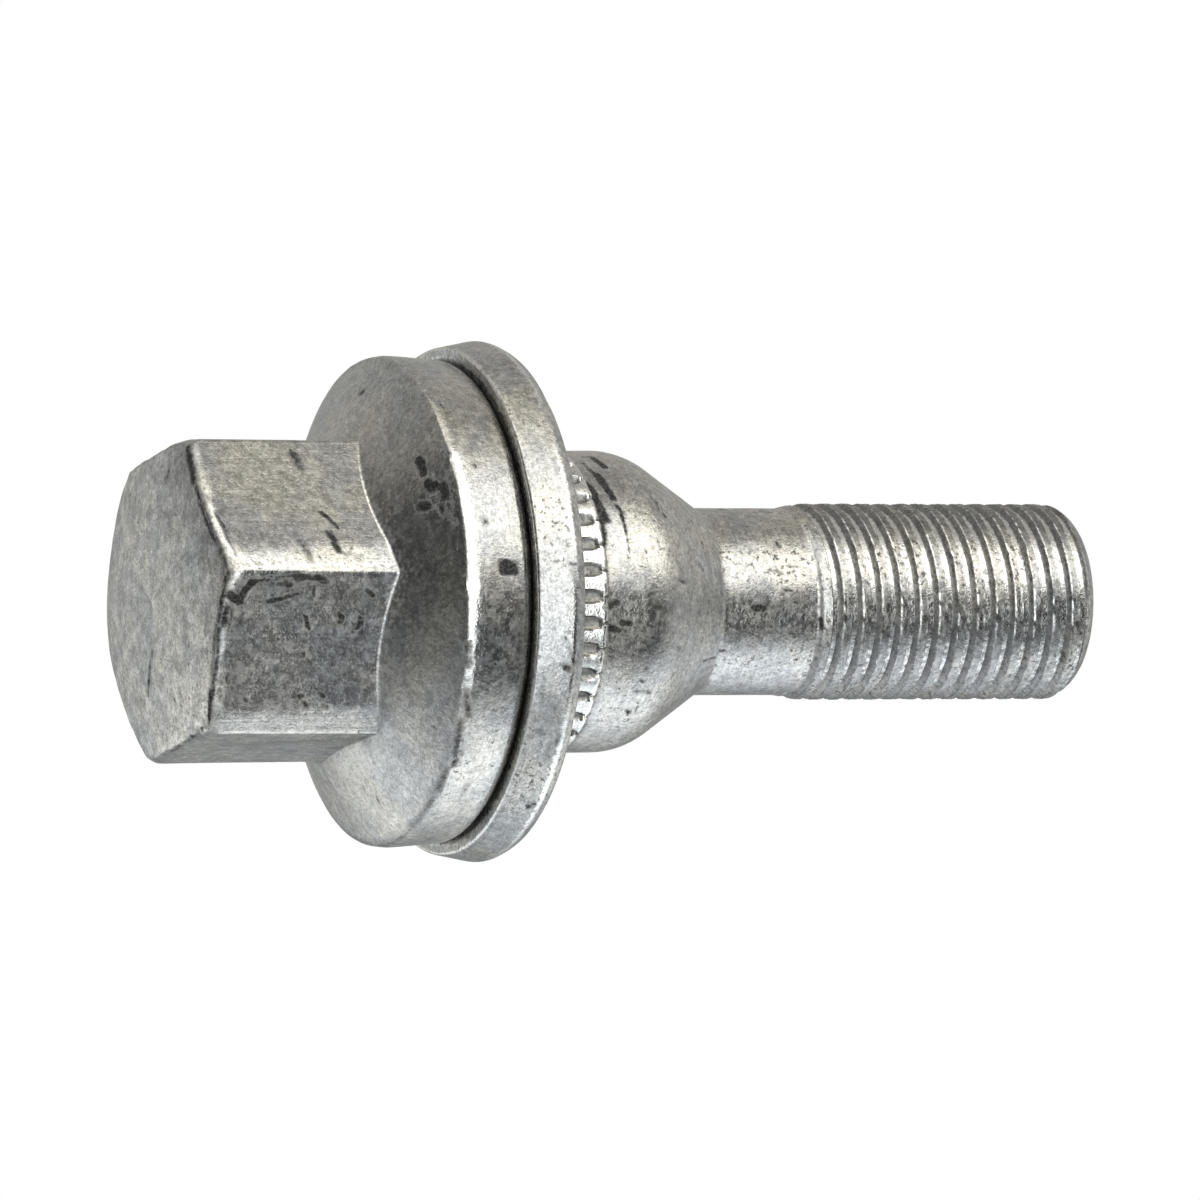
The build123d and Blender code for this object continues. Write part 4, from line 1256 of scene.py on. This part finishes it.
# Strength of the tent's cloth, for each rise above the floor and each turn from the camera's side to the top
TENT_SIDE = ((-156, 0.30), (-140, 0.54), (-115, 1.28), (-90, 1.90), (-66, 1.45), (-43, 0.05), (3, 0.04),
             (16, 0.45), (27, 2.35), (60, 2.35), (74, 0.72), (90, 0.39), (180, 0.46))
TENT_CLOTH = {
    -90: ((0, 0.06),),
    -62: ((-150, 0.45), (-90, 0.50), (-54, 0.25), (0, 0.10), (90, 0.07), (150, 0.14)),
    -38: ((-165, 1.15), (-145, 1.50), (-110, 0.85), (-80, 0.60), (-54, 0.40), (0, 0.50), (60, 0.45),
          (90, 0.34), (145, 0.43), (180, 0.66)),
    -15: ((-165, 1.05), (-150, 0.95), (-100, 0.75), (-60, 0.60), (-36, 1.40), (0, 1.80), (60, 1.9),
          (100, 0.60), (145, 0.36), (180, 0.72)),
    -2: ((-150, 0.34), (-115, 0.56), (-90, 0.75), (-54, 0.55), (-34, 0.90), (-20, 2.7), (20, 2.6), (60, 2.2),
         (92, 1.5), (110, 0.50), (180, 0.48)),
    8.3: ((-156, 0.24), (-140, 0.28), (-115, 0.62), (-90, 0.80), (-60, 0.65), (-36, 0.90), (-20, 2.8),
          (30, 2.6), (58, 2.3), (74, 0.85), (90, 0.42), (130, 0.40), (180, 0.46)),
    14.3: (*TENT_SIDE, (130, 0.50)),
    45: (*TENT_SIDE, (130, 0.56)),
    66: ((-140, 0.90), (-60, 0.80), (0, 0.38), (60, 0.70), (140, 0.58)),
    90: ((0, 0.50),),
}
# The tent's grid in degrees, which leaves a small hole at each pole
TENT_TURNS = np.arange(0, 360, 3.0)
TENT_RISES = np.linspace(-89.5, 89.5, 73)
# Strength of the room's light and of the white that the camera sees, and half the floor's width
ROOM_LIGHT = 0.4
WHITE_LIGHT = 1.0
FLOOR_HALF = 1.5
FLOOR_ROUGHNESS = 0.9
SENSOR_WIDTH = 36
CLIP_RANGE = (0.01, 20)


def studio_axes(studio):
    """Level towards the camera, up in the picture and along the bolt, as unit vectors."""
    near = Vector((math.sin(studio.view_turn), -math.cos(studio.view_turn), 0))
    up = Vector((-math.cos(studio.view_turn), -math.sin(studio.view_turn), 0))
    return near, up, Vector((0, 0, 1))


def tent_light(turn, rise):
    """Strength of the tent's cloth in each direction: straight lines between the table's numbers."""
    rises = np.array(list(TENT_CLOTH))
    rings = [np.interp(turn, *np.array(sorted(ring)).T, period=360) for ring in TENT_CLOTH.values()]
    weights = np.stack([np.interp(rise, rises, row) for row in np.eye(len(rises))])
    return np.einsum("re,rt->et", weights, np.array(rings))


def tent_surface(studio):
    """Points, faces, strength and warmth of a sphere around the bolt, on a grid of turns and rises."""
    near, up, axis = (np.array(way) for way in studio_axes(studio))
    turn, rise = np.radians(TENT_TURNS)[:, None], np.radians(TENT_RISES)[:, None, None]
    flat = np.cos(turn) * near + np.sin(turn) * up
    points = studio.tent_radius * (np.cos(rise) * flat[None] + np.sin(rise) * axis)
    warmth = 0.5 + 0.5 * np.sin(turn)[:, 0] * np.cos(rise)[..., 0]
    faces = ring_quads(0, len(TENT_RISES), len(TENT_TURNS))
    return points.reshape(-1, 3), [faces], {"glow": tent_light(TENT_TURNS, TENT_RISES), "warmth": warmth}


def tent_cloth(studio):
    """Glowing cloth: the mesh's own strength, cool on the picture's lower side and warm on its upper one."""
    material = bpy.data.materials.new("tent_cloth")
    material.use_nodes = True
    material.node_tree.nodes.clear()
    nodes = Nodes(material.node_tree)
    colour = nodes.mix(nodes.mark("warmth"), studio.tent_cool, studio.tent_warm)
    glow = nodes.add("ShaderNodeEmission", {"Color": colour, "Strength": nodes.mark("glow")})
    nodes.add("ShaderNodeOutputMaterial", {"Surface": glow.outputs[0]})
    return material


def add_camera(scene, studio):
    """The camera at the photo's angle, level with the bolt's axis in the picture."""
    near, up, axis = studio_axes(studio)
    right = axis * math.cos(studio.view_slant) + near * math.sin(studio.view_slant)
    towards = near * math.cos(studio.view_slant) - axis * math.sin(studio.view_slant)
    data = bpy.data.cameras.new("camera")
    data.sensor_width = SENSOR_WIDTH
    data.lens = data.sensor_width * studio.camera_distance / studio.view_width
    data.clip_start, data.clip_end = CLIP_RANGE
    camera = bpy.data.objects.new("camera", data)
    scene.collection.objects.link(camera)
    camera.matrix_world = Matrix((right, up, towards)).transposed().to_4x4()
    camera.location = axis * studio.view_height + up * studio.view_lift + towards * studio.camera_distance
    scene.camera = camera


def add_room(scene):
    """Soft light from all sides, with plain white where the camera sees past the floor."""
    world = bpy.data.worlds.new("studio")
    world.use_nodes = True
    scene.world = world
    world.node_tree.nodes.clear()
    nodes = Nodes(world.node_tree)
    path = nodes.add("ShaderNodeLightPath").outputs
    seen = nodes.larger(path["Is Camera Ray"], path["Is Glossy Ray"])
    seen = nodes.larger(seen, path["Is Transmission Ray"])
    room, white = (
        nodes.add("ShaderNodeBackground", {"Color": (1, 1, 1, 1), "Strength": strength}).outputs[0]
        for strength in (ROOM_LIGHT, WHITE_LIGHT))
    mix = nodes.add("ShaderNodeMixShader", {0: seen, 1: room, 2: white})
    nodes.add("ShaderNodeOutputWorld", {"Surface": mix.outputs[0]})


def add_floor(scene, studio):
    """A plain pale floor, clear from below, since the camera stands lower than the bolt's crown."""
    mesh = bpy.data.meshes.new("floor")
    corners = [(-1, -1), (1, -1), (1, 1), (-1, 1)]
    mesh.from_pydata([(FLOOR_HALF * x, FLOOR_HALF * y, 0) for x, y in corners], [], [(0, 1, 2, 3)])
    floor = bpy.data.objects.new("floor", mesh)
    scene.collection.objects.link(floor)
    floor.visible_glossy = False
    floor.visible_shadow = False
    material = bpy.data.materials.new("floor_paper")
    material.use_nodes = True
    nodes = Nodes(material.node_tree)
    paper = material.node_tree.nodes["Principled BSDF"]
    nodes.feed(paper.inputs["Base Color"], (*studio.floor_colour, 1))
    nodes.feed(paper.inputs["Roughness"], FLOOR_ROUGHNESS)
    side = nodes.add("ShaderNodeNewGeometry").outputs["Backfacing"]
    clear = nodes.add("ShaderNodeBsdfTransparent").outputs[0]
    both = nodes.add("ShaderNodeMixShader", {0: side, 1: paper.outputs[0], 2: clear})
    nodes.feed(material.node_tree.nodes["Material Output"].inputs["Surface"], both.outputs[0])
    mesh.materials.append(material)


def add_tent(studio):
    """The light tent, which the camera doesn't see."""
    tent = new_piece("light_tent", tent_surface(studio), tent_cloth(studio), math.pi)
    tent.visible_camera = False


class WHEELBOLT_OT_stage(bpy.types.Operator):
    """Set up the camera, the white background, the floor and the light tent."""

    bl_idname = "wheelbolt.stage"
    bl_label = "Stage"

    def execute(self, context):
        scene = context.scene
        studio = scene.studio_settings
        scene.view_settings.view_transform = "Standard"
        add_camera(scene, studio)
        add_room(scene)
        add_floor(scene, studio)
        add_tent(studio)
        return {"FINISHED"}


class WHEELBOLT_PT_panel(bpy.types.Panel):
    """Sizes, finish and buttons of the wheel bolt."""

    bl_idname = "WHEELBOLT_PT_panel"
    bl_label = "Wheel bolt"
    bl_space_type = "VIEW_3D"
    bl_region_type = "UI"
    bl_category = "Wheel bolt"

    def draw(self, context):
        layout = self.layout
        scene = context.scene
        for group in (scene.bolt_sizes, scene.washer_sizes, scene.steel_finish, scene.studio_settings):
            box = layout.box()
            for name in group.__annotations__:
                box.prop(group, name)
        for operator in OPERATORS:
            layout.operator(operator.bl_idname)


GROUPS = {"bolt_sizes": BoltSizes, "washer_sizes": WasherSizes, "steel_finish": SteelFinish,
          "studio_settings": StudioSettings}
OPERATORS = (WHEELBOLT_OT_bolt, WHEELBOLT_OT_washer, WHEELBOLT_OT_stage)
CLASSES = (*GROUPS.values(), *OPERATORS, WHEELBOLT_PT_panel)


def register():
    """Register the classes and hang the settings on the scene."""
    for item in CLASSES:
        bpy.utils.register_class(item)
    for name, group in GROUPS.items():
        setattr(bpy.types.Scene, name, bpy.props.PointerProperty(type=group))


def unregister():
    """Take the settings and the classes away again."""
    for name in GROUPS:
        delattr(bpy.types.Scene, name)
    for item in reversed(CLASSES):
        bpy.utils.unregister_class(item)


def main():
    """Build the bolt, the washer and the stage."""
    register()
    bpy.ops.wheelbolt.bolt()
    bpy.ops.wheelbolt.washer()
    bpy.ops.wheelbolt.stage()


if __name__ == "__main__":
    main()
